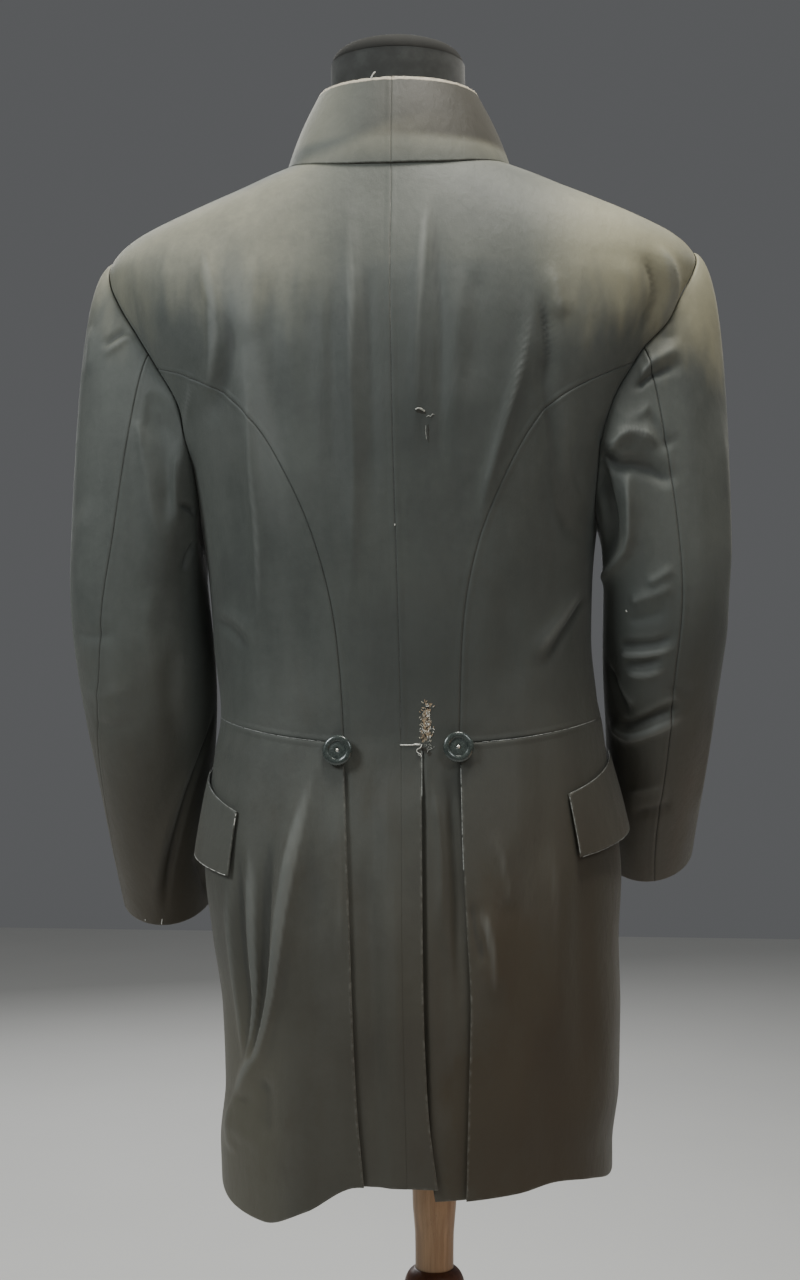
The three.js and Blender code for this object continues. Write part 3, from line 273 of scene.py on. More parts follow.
# Folds of the back and skirts: x is the wearer's left of the centre seam.
backFolds = [
    ([(154, 1318), (147, 1292), (141, 1266), (140, 1234), (144, 1208), (153, 1186)], 7, 3.4),
    ([(133, 1270), (127, 1233), (131, 1207), (143, 1185), (155, 1165)], 8, -2.8),
    ([(162, 1218), (166, 1195), (170, 1176), (169, 1157), (166, 1135)], 4.2, 2.6),
    ([(118, 1240), (114, 1194), (113, 1163), (113, 1125), (111, 1094), (111, 1063), (113, 1016),
      (122, 965)], 5.5, 2.4), ([(126, 1150), (125, 1110), (126, 1040)], 7, -1.6),
    ([(106, 1315), (110, 1263), (113, 1226)], 8, 1.6), ([(92, 1300), (92, 1220), (84, 1130)], 9, -1.6),
    ([(62, 1290), (64, 1210), (66, 1120)], 11, -1.3),
    ([(36, 1366), (32, 1309), (30, 1260), (31, 1213), (30, 1160), (31, 1107), (34, 1062),
      (42, 996)], 6.5, 2.9), ([(19, 1310), (17, 1240), (16, 1160), (18, 1080)], 6, -1.5),
    ([(46, 1280), (46, 1200), (47, 1110)], 6, -1.3),
    ([(-28, 1372), (-26, 1315), (-23, 1275), (-21, 1228), (-19, 1182), (-16, 1124)], 6.2, 2.4, 0.8),
    ([(-34, 1350), (-36, 1290), (-38, 1235), (-37, 1182), (-36, 1115)], 5, -1.9),
    ([(-55, 1290), (-50, 1220), (-45, 1150)], 7, 1.4),
    ([(-68, 1300), (-66, 1240), (-60, 1180)], 8, -1.3),
    ([(-109, 1278), (-102, 1229), (-93, 1194), (-84, 1164), (-75, 1134), (-68, 1107),
      (-62, 1070)], 5.8, 3.2, 1.3), ([(-115, 1272), (-118, 1237), (-119, 1214), (-113, 1178)], 5, -2.4),
    ([(-122, 1290), (-127, 1266), (-130, 1246)], 5, 2.0),
    ([(-203, 1312), (-212, 1303), (-217, 1290), (-218, 1277), (-213, 1262), (-203, 1245),
      (-192, 1228)], 5.5, 4.4),
    ([(-192, 1304), (-200, 1290), (-203, 1272), (-196, 1252), (-186, 1232)], 5, -2.6),
    ([(-176, 1300), (-184, 1270), (-178, 1236)], 8, 1.6),
    ([(-114, 1229), (-117, 1184), (-121, 1146), (-124, 1109), (-133, 1086), (-148, 1068)], 6, -2.6),
    ([(-130, 1200), (-133, 1150), (-138, 1120), (-150, 1094)], 7, 1.9),
    ([(-149, 1040), (-142, 1028), (-131, 1012), (-120, 996), (-108, 974)], 2.4, -2.3),
    ([(-143, 1046), (-133, 1029), (-122, 1013), (-112, 999), (-100, 980)], 5, 2.4),
    ([(158, 1017), (146, 1013), (134, 1006), (118, 986)], 3.6, -1.8),
    ([(154, 1026), (142, 1022), (128, 1013), (112, 994)], 5, 1.4),
    ([(-80, 1060), (-86, 1000), (-84, 950)], 12, -1.4), ([(70, 1060), (74, 1000), (80, 950)], 14, -1.2),
    ([(152, 596), (142, 628), (132, 652), (118, 676), (106, 706), (98, 741), (93, 782), (87, 818),
      (80, 850), (70, 890), (58, 930)], 8, 6.8),
    ([(128, 655), (116, 679), (105, 708), (98, 741), (92, 782), (84, 826)], 2.6, 1.3),
    ([(124, 662), (118, 682), (111, 720), (108, 768), (106, 812), (102, 862)], 4.2, -4.6),
    ([(126, 660), (121, 690), (117, 722), (119, 760), (120, 802), (121, 862)], 3.6, 3.6),
    ([(128, 674), (125, 710), (128, 752), (130, 800), (132, 850)], 3.4, -3.0),
    ([(131, 666), (133, 694), (137, 730), (141, 780), (143, 830)], 3.8, 2.8),
    ([(114, 664), (111, 640), (114, 606)], 8, -2.4), ([(141, 632), (146, 612), (148, 590)], 6, 2.6),
    ([(134, 640), (140, 600)], 12, 2.6), ([(64, 850), (68, 760), (66, 650)], 12, -2.0),
    ([(50, 880), (47, 820), (50, 740)], 6, 1.3), ([(29, 850), (24, 727), (22, 630)], 8, -1.7),
    ([(6, 850), (4, 728), (4, 630)], 9, 1.7),
    ([(-24, 892), (-28, 860), (-30, 817), (-29, 760)], 4, 2.0),
    ([(-37, 900), (-39, 855), (-41, 817), (-42, 773), (-43, 690)], 4, -3.4),
    ([(-28, 800), (-32, 700), (-34, 620)], 8, -1.6), ([(-51, 805), (-56, 778), (-62, 750)], 3, -1.7),
    ([(-60, 800), (-66, 765), (-68, 720)], 6, 1.6), ([(-88, 860), (-86, 760), (-84, 640)], 12, -2.2),
    ([(-114, 862), (-113, 763), (-110, 650)], 13, 2.8),
    ([(-138, 860), (-136, 740), (-138, 620)], 10, -2.2), ([(-68, 860), (-78, 820), (-84, 790)], 6, 1.2),
]
# Folds of the chest, the waist and the front of the skirts.
frontFolds = [
    ([(66, 1270), (58, 1180), (50, 1060), (52, 1000)], 15, 2.2),
    ([(92, 1230), (84, 1120), (88, 1010)], 12, -2.0),
    ([(-72, 1250), (-62, 1150), (-55, 1040)], 14, 2.2),
    ([(-98, 1210), (-90, 1110), (-94, 1000)], 11, -2.0),
    ([(140, 1200), (128, 1130), (132, 1060)], 6, 2.4),
    ([(-144, 1190), (-132, 1120), (-136, 1050)], 6, 2.2),
    ([(124, 1230), (116, 1160), (112, 1100)], 7, -2.2), ([(40, 1100), (62, 1040), (96, 1006)], 6, 1.6),
    ([(-44, 1080), (-66, 1030), (-100, 1000)], 6, 1.5),
    ([(140, 1030), (118, 1012), (104, 984)], 3.4, -1.8),
    ([(-138, 1040), (-120, 1016), (-106, 990)], 3.2, -2.0),
    ([(118, 870), (112, 780), (116, 660)], 13, 3.4), ([(94, 880), (92, 780), (98, 690)], 9, -2.4),
    ([(-126, 870), (-116, 780), (-118, 670)], 12, 3.2),
    ([(-100, 880), (-96, 800), (-102, 700)], 9, -2.2), ([(142, 850), (138, 740), (136, 640)], 7, -2.6),
]


# How far folds and waves lift the cloth off the body surface.
def bodyRise(side, angle, points):
    x, z = points[..., 0], points[..., 2]
    inward = ramp(*coatSizes["foldFadeShare"], np.abs(x) / halfWidth(bodyTable, side, z))
    behind = np.cos(angle) >= 0
    rise = np.where(behind, foldRise(x, z, backFolds), foldRise(x, z, frontFolds)) * inward
    waves = unevenness(coatSizes["wavesPerTurn"] * angle * side, z) * ramp(*coatSizes["waveFadeZ"], z)
    return rise * coatSizes["foldDepth"] + waves


easeSteps = (-1, -0.5, 0, 0.5, 1)


# A place on the coat's outer face, at an angle round it (0 behind) and a height.
def coatPoint(side, angle, z, lift=0.0):
    reach = ramp(*coatSizes["easeStartZ"], z) * ramp(*coatSizes["easeEndZ"], z)
    reach = coatSizes["shoulderEase"] * reach
    point = sum(sectionPoint(bodyTable, side, angle, z + k * reach) for k in easeSteps) / len(easeSteps)
    point[..., 2] = z
    normal = sectionNormal(bodyTable, side, angle, z)
    return hang(point + normal * (bodyRise(side, angle, point) + lift)[..., None])


# x, height and angle of a place on the armhole: 0 degrees is behind, 90 the shoulder tip.
def armholePlace(side, degrees):
    middle = (coatSizes["shoulderTipZ"] + coatSizes["armpitZ"]) / 2
    reach = (coatSizes["shoulderTipZ"] - coatSizes["armpitZ"]) / 2
    turn = np.radians(degrees)
    z = middle + reach * np.sin(turn)
    behind = np.cos(turn) >= -1e-6
    share = np.where(behind, read(armholeTable, "behind", z), read(armholeTable, "before", z))
    x = share * halfWidth(bodyTable, side, z)
    back = angleAcross(side, x, z)
    return x, z, np.where(behind, back, np.pi - back)


def neckPlace(turn):
    return read(neckTable, "x", turn, "turn"), read(neckTable, "z", turn, "turn")


def shoulderHeight(share):
    return coatSizes["sideNeckZ"] + (coatSizes["shoulderTipZ"] - coatSizes["sideNeckZ"]) * share


def waistHeight(angle):
    return coatSizes["waistZ"] + coatSizes["waistRise"] * np.sin(angle) ** 2


def hemHeight(hand, angle):
    return read(hemTable, hand, np.degrees(angle), "angle")


# x and height on the curved seam between the back and the side body.
def sideSeam(side, share):
    x, z, _ = armholePlace(side, 8.0)
    line = smoothPath(sideBodyRows + [(float(x), float(z))], 160)
    length = np.concatenate([[0], np.cumsum(np.hypot(*np.diff(line, axis=0).T))])
    at = share * length[-1]
    reach = np.minimum(coatSizes["seamEase"], np.minimum(at, length[-1] - at) * 0.6)
    shifts = [at + k * reach for k in easeSteps]
    return tuple(sum(np.interp(a, length, line[:, k]) for a in shifts) / len(easeSteps) for k in (0, 1))


def underarmAngle(side, z):
    x = read(underarmTable, "share", z) * halfWidth(bodyTable, side, z)
    return angleAcross(side, x, z, "front")


# The angle and height where the underarm seam meets the waist seam.
def underarmWaist(side):
    z = waistHeight(underarmAngle(side, coatSizes["waistZ"] + coatSizes["waistRise"]))
    return underarmAngle(side, z), z


def pair(first, second):
    return np.stack(np.broadcast_arrays(first, second), -1)


edgeFade = 3


# Fills a panel between its edges; each is a function of the share along it.
def fillEdges(left, right, bottom, top, across, up):
    start, end = left(up), right(up)
    low, high = start[:1, :1], start[-1:, :1]
    v = (start[..., 1:2] - low[..., 1:2]) / (high[..., 1:2] - low[..., 1:2])
    u = across[..., None]
    between = start * (1 - u) + end * u
    topBow = top(across) - (start[-1] * (1 - u) + end[-1] * u)
    bottomBow = bottom(across) - (start[0] * (1 - u) + end[0] * u)
    return between + topBow * v ** edgeFade + bottomBow * (1 - v) ** edgeFade


edgeOffsets = np.array([0.0, 0.45, 1.0, 1.8, 3.0, 4.8])


# Shares along a line of the given length: close together at its ends, even between.
def stops(length, count):
    length = np.atleast_1d(np.asarray(length, float))[:, None]
    ends = np.minimum(edgeOffsets, length * 0.1 * edgeOffsets / edgeOffsets[-1])
    ends = ends + coatSizes["seamGap"] / 2
    inner = np.linspace(0, 1, count + 2)[1:-1]
    first = ends[:, -1:]
    middle = first + (length - 2 * first) * inner
    return np.concatenate([ends, middle, (length - ends)[:, ::-1]], 1) / length


# Shares up and across a panel of the given sizes.
def shareGrid(sizes):
    up = stops(sizes["length"], sizes["rows"])[0][:, None]
    return up, stops(sizes["width"], sizes["columns"])[0][None, :]


def gridNormals(points):
    down = np.gradient(points, axis=0)
    over = np.gradient(points, axis=1)
    return unit(np.cross(over, down))


# Distances along the rows or columns of a grid, from its start.
def distances(points, axis):
    steps = np.linalg.norm(np.diff(points, axis=axis), axis=-1)
    pad = [(1, 0), (0, 0)] if axis == 0 else [(0, 0), (1, 0)]
    return np.cumsum(np.pad(steps, pad), axis=axis)


# Materials. A shared effect is a node group that puts out values, colours or a height.
def setInputs(tree, node, inputs):
    for key, value in inputs.items():
        if isinstance(value, bpy.types.NodeSocket):
            tree.links.new(value, node.inputs[key])
        else:
            node.inputs[key].default_value = value


def addNode(tree, kind, settings=None, inputs=None):
    node = tree.nodes.new(kind)
    for key, value in (settings or {}).items():
        setattr(node, key, value)
    setInputs(tree, node, inputs or {})
    return node


def mathNode(tree, operation, *values, clamp=False):
    settings = {"operation": operation, "use_clamp": clamp}
    return addNode(tree, "ShaderNodeMath", settings, dict(enumerate(values))).outputs[0]


def plus(tree, first, second):
    return mathNode(tree, "ADD", first, second)


def times(tree, *values):
    product = values[0]
    for value in values[1:]:
        product = mathNode(tree, "MULTIPLY", product, value)
    return product


def timesPlus(tree, first, second, third):
    return mathNode(tree, "MULTIPLY_ADD", first, second, third)


def largest(tree, *values):
    most = values[0]
    for value in values[1:]:
        most = mathNode(tree, "MAXIMUM", most, value)
    return most


def vectorMath(tree, operation, *values, scale=None):
    inputs = dict(enumerate(values))
    if scale is not None:
        inputs["Scale"] = scale
    node = addNode(tree, "ShaderNodeVectorMath", {"operation": operation}, inputs)
    return node.outputs["Value" if operation in ("DOT_PRODUCT", "LENGTH") else "Vector"]


def split(tree, vector):
    return addNode(tree, "ShaderNodeSeparateXYZ", None, {0: vector}).outputs


def mixColour(tree, factor, first, second):
    inputs = {0: factor, 6: first, 7: second}
    return addNode(tree, "ShaderNodeMix", {"data_type": "RGBA"}, inputs).outputs[2]


# A smooth step from one value to another.
def mapRange(tree, value, low, high, toLow=0.0, toHigh=1.0):
    return addNode(tree, "ShaderNodeMapRange", {"interpolation_type": "SMOOTHSTEP"}, {
        "Value": value, "From Min": low, "From Max": high, "To Min": toLow, "To Max": toHigh}).outputs[0]


def noise(tree, vector, scale, detail=2.0, rough=0.5):
    return addNode(tree, "ShaderNodeTexNoise", None, {
        "Vector": vector, "Scale": scale, "Detail": detail, "Roughness": rough}).outputs["Fac"]


def scaled(tree, vector, size):
    return addNode(tree, "ShaderNodeMapping", None, {"Vector": vector, "Scale": size}).outputs[0]


def bumpNode(tree, height, strength, distance):
    return addNode(tree, "ShaderNodeBump", None, {
        "Height": height, "Strength": strength, "Distance": distance})


def startGroup(name, inputs, outputs):
    group = bpy.data.node_groups.new(name, "ShaderNodeTree")
    for label, kind, value in inputs:
        socket = group.interface.new_socket(label, in_out="INPUT", socket_type="NodeSocket" + kind)
        if value is not None:
            socket.default_value = value
    for label in outputs:
        group.interface.new_socket(label, in_out="OUTPUT", socket_type="NodeSocketFloat")
    return group, group.nodes.new("NodeGroupInput").outputs, group.nodes.new("NodeGroupOutput").inputs


def finishGroup(group, ends, values):
    for label, socket in values.items():
        group.links.new(socket, ends[label])
    return group


# Diagonal ribs of a twill, steeper ones crossing them, and a fine nap over both.
twillLook = {
    "ribLean": 0.62,
    "ribWander": 0.0006,
    "crossLean": -0.9,
    "crossPitch": 1.15,
    "crossShare": 0.35,
    "ribHeight": 0.36,
    "napHeight": 1.6,
    "ribTone": 0.018,
    "napTone": (0.22, 0.89),
}


def makeTwill():
    look = twillLook
    group, start, end = startGroup("twill", [("Vector", "Vector", None), ("Pitch", "Float", 0.0009)],
                                   ["Height", "Tone"])
    across, down, _ = split(group, start["Vector"])

    def ribs(line, share):
        turns = mathNode(group, "DIVIDE", line, start["Pitch"])
        return mathNode(group, "SINE", times(group, turns, math.tau * share))

    wander = noise(group, start["Vector"], 55)
    lean = timesPlus(group, down, look["ribLean"], across)
    rib = ribs(timesPlus(group, wander, look["ribWander"], lean), 1)
    cross = ribs(timesPlus(group, down, look["crossLean"], across), look["crossPitch"])
    weave = timesPlus(group, cross, look["crossShare"], rib)
    nap = noise(group, scaled(group, start["Vector"], (1, 0.45, 1)), 1900, 3, 0.7)
    height = timesPlus(group, nap, look["napHeight"], times(group, weave, look["ribHeight"]))
    tone = timesPlus(group, weave, look["ribTone"], timesPlus(group, nap, *look["napTone"]))
    return finishGroup(group, end, {"Height": height, "Tone": tone})


# Broad unevenness of old cloth: faded bloom, soiling and rubbed streaks.
mottleLook = {"broad": 0.62, "streak": 0.36, "fine": 0.16, "base": 0.43, "soil": (0.52, 0.75)}


def makeMottle():
    look = mottleLook
    group, start, end = startGroup("agedMottle", [("Vector", "Vector", None)], ["Tone", "Soil"])
    broad = noise(group, start["Vector"], 9, 5, 0.62)
    streak = noise(group, scaled(group, start["Vector"], (30, 30, 4)), 1, 4, 0.62)
    fine = noise(group, start["Vector"], 130, 3, 0.6)
    tone = timesPlus(group, streak, look["streak"], times(group, broad, look["broad"]))
    tone = timesPlus(group, fine, look["fine"], plus(group, tone, look["base"]))
    patches = noise(group, scaled(group, start["Vector"], (1, 1, 0.6)), 9, 5, 0.65)
    soil = mapRange(group, patches, *look["soil"])
    return finishGroup(group, end, {"Tone": tone, "Soil": soil})


# How near a point is to a straight line between two places, 1 on the line.
def makeMark():
    group, start, end = startGroup(
        "markLine", [("Vector", "Vector", None), ("From", "Vector", (0, 0, 0)), ("To", "Vector", (0, 0, 1)),
                     ("Width", "Float", 0.001), ("Ragged", "Float", 0.001)], ["Mask"])
    shake = addNode(group, "ShaderNodeTexNoise", None, {
        "Vector": start["Vector"], "Scale": 420.0, "Detail": 2.0})
    centred = vectorMath(group, "SUBTRACT", shake.outputs["Color"], (0.5, 0.5, 0.5))
    ragged = vectorMath(group, "SCALE", centred, scale=start["Ragged"])
    moved = vectorMath(group, "ADD", start["Vector"], ragged)
    reach = vectorMath(group, "SUBTRACT", moved, start["From"])
    line = vectorMath(group, "SUBTRACT", start["To"], start["From"])
    along = mathNode(group, "DIVIDE", vectorMath(group, "DOT_PRODUCT", reach, line),
                     vectorMath(group, "DOT_PRODUCT", line, line), clamp=True)
    nearest = vectorMath(group, "SCALE", line, scale=along)
    away = vectorMath(group, "LENGTH", vectorMath(group, "SUBTRACT", reach, nearest))
    share = mathNode(group, "DIVIDE", away, start["Width"])
    return finishGroup(group, end, {"Mask": mapRange(group, share, 1.0, 0.35)})


# Straight wood grain along Z, with pores and a darker figure.
grainLook = {"bend": 0.5, "bands": 0.7, "pores": (0.56, 0.72)}


def makeGrain():
    look = grainLook
    group, start, end = startGroup("woodGrain", [("Vector", "Vector", None), ("Stretch", "Float", 14.0)],
                                   ["Figure", "Pores"])
    x, y, z = split(group, start["Vector"])
    across = addNode(group, "ShaderNodeCombineXYZ", None, {
        0: times(group, x, start["Stretch"]), 1: times(group, y, start["Stretch"]), 2: z}).outputs[0]
    bend = noise(group, across, 3, 3)
    bands = noise(group, scaled(group, across, (5.5, 5.5, 1.6)), 3.4, 5, 0.65)
    figure = timesPlus(group, bend, look["bend"], times(group, bands, look["bands"]))
    specks = noise(group, scaled(group, across, (34, 34, 9)), 6, 2, 0.7)
    return finishGroup(group, end, {"Figure": figure, "Pores": mapRange(group, specks, *look["pores"])})


twillGroup, mottleGroup, markGroup, grainGroup = makeTwill(), makeMottle(), makeMark(), makeGrain()


def useGroup(tree, group, inputs):
    return addNode(tree, "ShaderNodeGroup", {"node_tree": group}, inputs).outputs


def plainMaterial(name, settings):
    material = bpy.data.materials.new(name)
    material.use_nodes = True
    tree = material.node_tree
    shader = tree.nodes["Principled BSDF"]
    setInputs(tree, shader, settings)
    return material, tree, shader


# A new material with its node tree, its shader and the coordinates it is painted by.
def newMaterial(name, settings):
    material, tree, shader = plainMaterial(name, settings)
    return material, tree, shader, addNode(tree, "ShaderNodeTexCoord").outputs


woolLook = {
    "light": (0.089, 0.096, 0.086, 1),
    "dark": (0.048, 0.053, 0.048, 1),
    "soil": (0.050, 0.040, 0.026, 1),
    "worn": (0.30, 0.30, 0.27, 1),
    "rubbedAndSheen": (0.190, 0.198, 0.184, 1),
    "hollowShade": (0.028, 0.030, 0.028, 1),
    "grooveShade": (0.03, 0.03, 0.028, 1),
    "canvas": (0.44, 0.33, 0.21, 1),
    "pit": (0.022, 0.018, 0.013, 1),
    "faded": (0.256, 0.246, 0.184, 1),
    "fadedDark": (0.138, 0.136, 0.108, 1),
    "yellowed": (0.285, 0.258, 0.140, 1),
    "lining": (0.50, 0.44, 0.34, 1),
    "fadedShare": 0.8,
    "neckShade": -0.8,
    "slitShare": 0.8,
    "weltHeight": 4.0,
    "twillPitch": 0.00095,
}
# Where the wool's colour changes, by ageing and by painted light and shade: an area is the product
# of its smooth steps, each one (measure, from, to, and where they are not 0 and 1 the values at both ends).
woolAreas = {
    "fadedTop": [("fadeHeight", 1.235, 1.315)],
    "yokeMiddle": [("x", -0.095, -0.035), ("x", 0.062, 0.036), ("z", 1.295, 1.285)],
    "neck": [("offSeam", 0.15, 0.06), ("z", 1.40, 1.37)],
    "belowCrease": [("crease", 1.430, 1.414)],
    "yellowed": [("x", -0.02, -0.15, 0, 0.34)],
    "mottledSoil": [("z", 1.1, 0.8, 0.1, 0.35)],
    # Painted shade with a warm cast: the tails turn darker and browner towards the hem.
    "tailShade": [("z", 1.02, 0.66, 0, 0.6)],
    # Painted shade with a warm cast: darker and browner towards the coat's right side, low on the back.
    "rightSideShade": [("x", 0.06, -0.12, 0, 0.42), ("z", 1.04, 0.84)],
    # On the collar, painted shade darkens and browns the right side and painted light brightens the left
    # side.
    "rightCollar": [("x", 0.09, -0.04, 0, 0.95), ("z", 1.392, 1.402)],
    "leftCollar": [("x", 0.045, 0.09, 0, 0.35), ("z", 1.392, 1.402)],
    "turnedCollar": [("x", 0.07, -0.03, 0, 0.5), ("z", 1.392, 1.402)],
    # Painted light brightens the lower left corner of the tails.
    "tailCornerLight": [("x", 0.08, 0.15, 0, 0.5), ("z", 0.76, 0.66)],
    # Painted shade darkens the middle of the upper back and of the lower back.
    "upperBackShade": [("offSeam", 0.12, 0.05, 0, 0.5), ("z", 1.08, 1.20), ("z", 1.42, 1.295, 0.4, 1)],
    "lowerBackShade": [("x", 0.10, 0.0, 0, 0.62), ("z", 1.12, 0.97), ("z", 0.68, 0.82)],
    # Painted shade with a warm cast on the outer sides of the lower sleeves.
    "outerSleeveShade": [("width", 0.18, 0.22, 0, 0.5), ("z", 1.02, 0.84)],
    # Painted shade at the right shoulder's outer edge.
    "rightShoulderShade": [("x", -0.240, -0.265, 0, 0.5), ("z", 1.34, 1.28)],
    # A painted sheen highlight down a slanted streak on the back's left side.
    "streak": [("offStreak", 0.020, 0.004, 0, 0.34), ("z", 1.06, 1.16), ("z", 1.34, 1.24)],
    # Fold crests are lighter, partly rubbed cloth and partly painted highlight; fold hollows are darker,
    # painted shade.
    "ridgeHighlights": [("crest", 0.0003, 0.0022, 0, 0.42)],
    "troughShade": [("crest", -0.0002, -0.0016, 0, 0.4)],
    "wornEdge": [("fold", 0.0026, 0.0002, 0, 0.26), ("rub", 0.42, 0.7)],
    "lip": [("z", 1.400, 1.404), ("raggedFold", 0.0044, 0.0032, 0, 0.8)],
    # Painted shade darkens the cloth in the seam grooves.
    "grooveShade": [("seam", 0.0007, 0.0002, 0, 0.2)],
    "weltRise": [("seam", 0.0003, 0.0016)],
    "weltFall": [("seam", 0.0022, 0.006)],
    "bareThreads": [("threads", 0.42, 0.6)],
    "lightTwill": [("tone", 0.7, 1.2)],
}
# Damage in metres, with depth shrunk to 0.06: from, to, half width, and how ragged.
wornPatches = [
    ((-0.0030, 0.006, 0.950), (0.0008, 0.006, 0.942), 0.0024, 0.005),
    ((0.0006, 0.006, 0.939), (-0.0010, 0.006, 0.930), 0.0034, 0.006),
    ((-0.0016, 0.006, 0.928), (0.0016, 0.006, 0.9242), 0.0036, 0.006),
]
slits = [
    ((-0.0033, 0.0072, 1.1630), (-0.0034, 0.0072, 1.1510), 0.0009, 0.002),
    ((-0.0010, 0.0072, 1.1722), (0.0050, 0.0072, 1.1735), 0.0012, 0.002),
    ((0.0015, 0.006, 0.9160), (-0.0030, 0.006, 0.9125), 0.0022, 0.004),
]


# What the steps of woolAreas measure: places in metres, distances from edges, and noises.
def woolMeasures(tree, place):
    def attribute(name):
        return addNode(tree, "ShaderNodeAttribute", {"attribute_name": name}).outputs["Fac"]

    x, _, z = split(tree, place["Object"])
    drift = noise(tree, scaled(tree, place["Object"], (22, 22, 5)), 1, 3, 0.6)
    height = timesPlus(tree, drift, 0.17, plus(tree, z, -0.085))
    crease = timesPlus(tree, largest(tree, x, 0.0), 0.34, z)
    streak = timesPlus(tree, z, -0.2, plus(tree, x, 0.105))
    rub = noise(tree, place["UV"], 160, 3, 0.65)
    fold = attribute("foldAway")
    return {
        "x": x, "z": z, "rub": rub, "fold": fold,
        "seam": attribute("seamAway"), "crest": attribute("crest"),
        "width": mathNode(tree, "ABSOLUTE", x),
        "offSeam": mathNode(tree, "ABSOLUTE", plus(tree, x, 0.005)),
        "offStreak": mathNode(tree, "ABSOLUTE", streak),
        "fadeHeight": plus(tree, height, mapRange(tree, x, -0.07, -0.13, 0, 0.03)),
        "crease": timesPlus(tree, drift, 0.012, crease),
        "raggedFold": timesPlus(tree, rub, 0.0028, fold),
        "threads": noise(tree, place["Object"], 520, 3, 0.7),
    }


def makeWool():
    material, tree, shader, place = newMaterial("wool", {
        "Roughness": 0.56, "Sheen Weight": 0.17, "Sheen Roughness": 0.4, "Specular IOR Level": 0.32,
        "Sheen Tint": (0.86, 0.86, 0.82, 1)})
    look = woolLook
    weave = useGroup(tree, twillGroup, {"Vector": place["UV"], "Pitch": look["twillPitch"]})
    mottle = useGroup(tree, mottleGroup, {"Vector": place["Object"]})
    measures = woolMeasures(tree, place)
    measures["tone"] = times(tree, mottle["Tone"], weave["Tone"])

    def area(*names):
        masks = [[mapRange(tree, measures[key], *step) for key, *step in woolAreas[name]] for name in names]
        return largest(tree, *[times(tree, *steps) for steps in masks])

    def marks(lines):
        flat = scaled(tree, place["Object"], (1, 0.06, 1))
        return largest(tree, *[useGroup(tree, markGroup, {
            "Vector": flat, "From": start, "To": finish, "Width": width, "Ragged": ragged})["Mask"]
            for start, finish, width, ragged in lines])

    cloth = mixColour(tree, area("lightTwill"), look["dark"], look["light"])
    unfaded = times(tree, area("yokeMiddle"), -1.0)
    faded = times(tree, area("fadedTop"), plus(tree, unfaded, 1.0),
                  timesPlus(tree, area("neck"), look["neckShade"], 1.0), area("belowCrease"))
    cloth = mixColour(tree, times(tree, faded, look["fadedShare"]), cloth,
                      mixColour(tree, area("lightTwill"), look["fadedDark"], look["faded"]))
    # The soil colour goes on random soil patches, and as painted shade low on the tails, on the right side,
    # the collar's right, the outer sleeves and the right shoulder.
    grimeAndShade = timesPlus(tree, mottle["Soil"], area("mottledSoil"), area("tailShade"))
    grimeAndShade = plus(tree, grimeAndShade, area("rightSideShade", "rightCollar"))
    grimeAndShade = mathNode(tree, "ADD", grimeAndShade, area("outerSleeveShade", "rightShoulderShade"), clamp=True)
    # These layers paint light and shade as well as wear: the faded colour is painted light on the collar's
    # left and the tail corner, the dark and hollow colours are painted shade, the rubbed colour is partly
    # painted highlight, and the groove colour is painted shade in the seams.
    for mask, colour in (
            (times(tree, faded, area("yellowed")), "yellowed"), (area("leftCollar", "tailCornerLight"), "faded"),
            (area("upperBackShade", "lowerBackShade"), "dark"), (grimeAndShade, "soil"), (area("turnedCollar"), "hollowShade"),
            (area("streak"), "rubbedAndSheen"), (area("ridgeHighlights"), "rubbedAndSheen"), (area("troughShade"), "hollowShade"),
            (area("wornEdge"), "worn"), (area("lip"), "lining"), (area("grooveShade"), "grooveShade")):
        cloth = mixColour(tree, mask, cloth, look[colour])
    patch = marks(wornPatches)
    cloth = mixColour(tree, patch, cloth, mixColour(tree, area("bareThreads"), look["pit"], look["canvas"]))
    cloth = mixColour(tree, times(tree, marks(slits), look["slitShare"]), cloth, look["pit"])
    relief = timesPlus(tree, patch, timesPlus(tree, measures["threads"], 4.0, -3.0), weave["Height"])
    welt = mathNode(tree, "SUBTRACT", area("weltRise"), area("weltFall"))
    relief = timesPlus(tree, welt, look["weltHeight"], relief)
    crumpled = noise(tree, scaled(tree, place["Object"], (1, 1, 0.55)), 38, 4, 0.62)
    crumple = bumpNode(tree, crumpled, 0.5, 0.0022)
    bump = bumpNode(tree, relief, 0.35, 0.00022)
    setInputs(tree, bump, {"Normal": crumple.outputs[0]})
    setInputs(tree, shader, {"Base Color": cloth, "Normal": bump.outputs[0]})
    return material


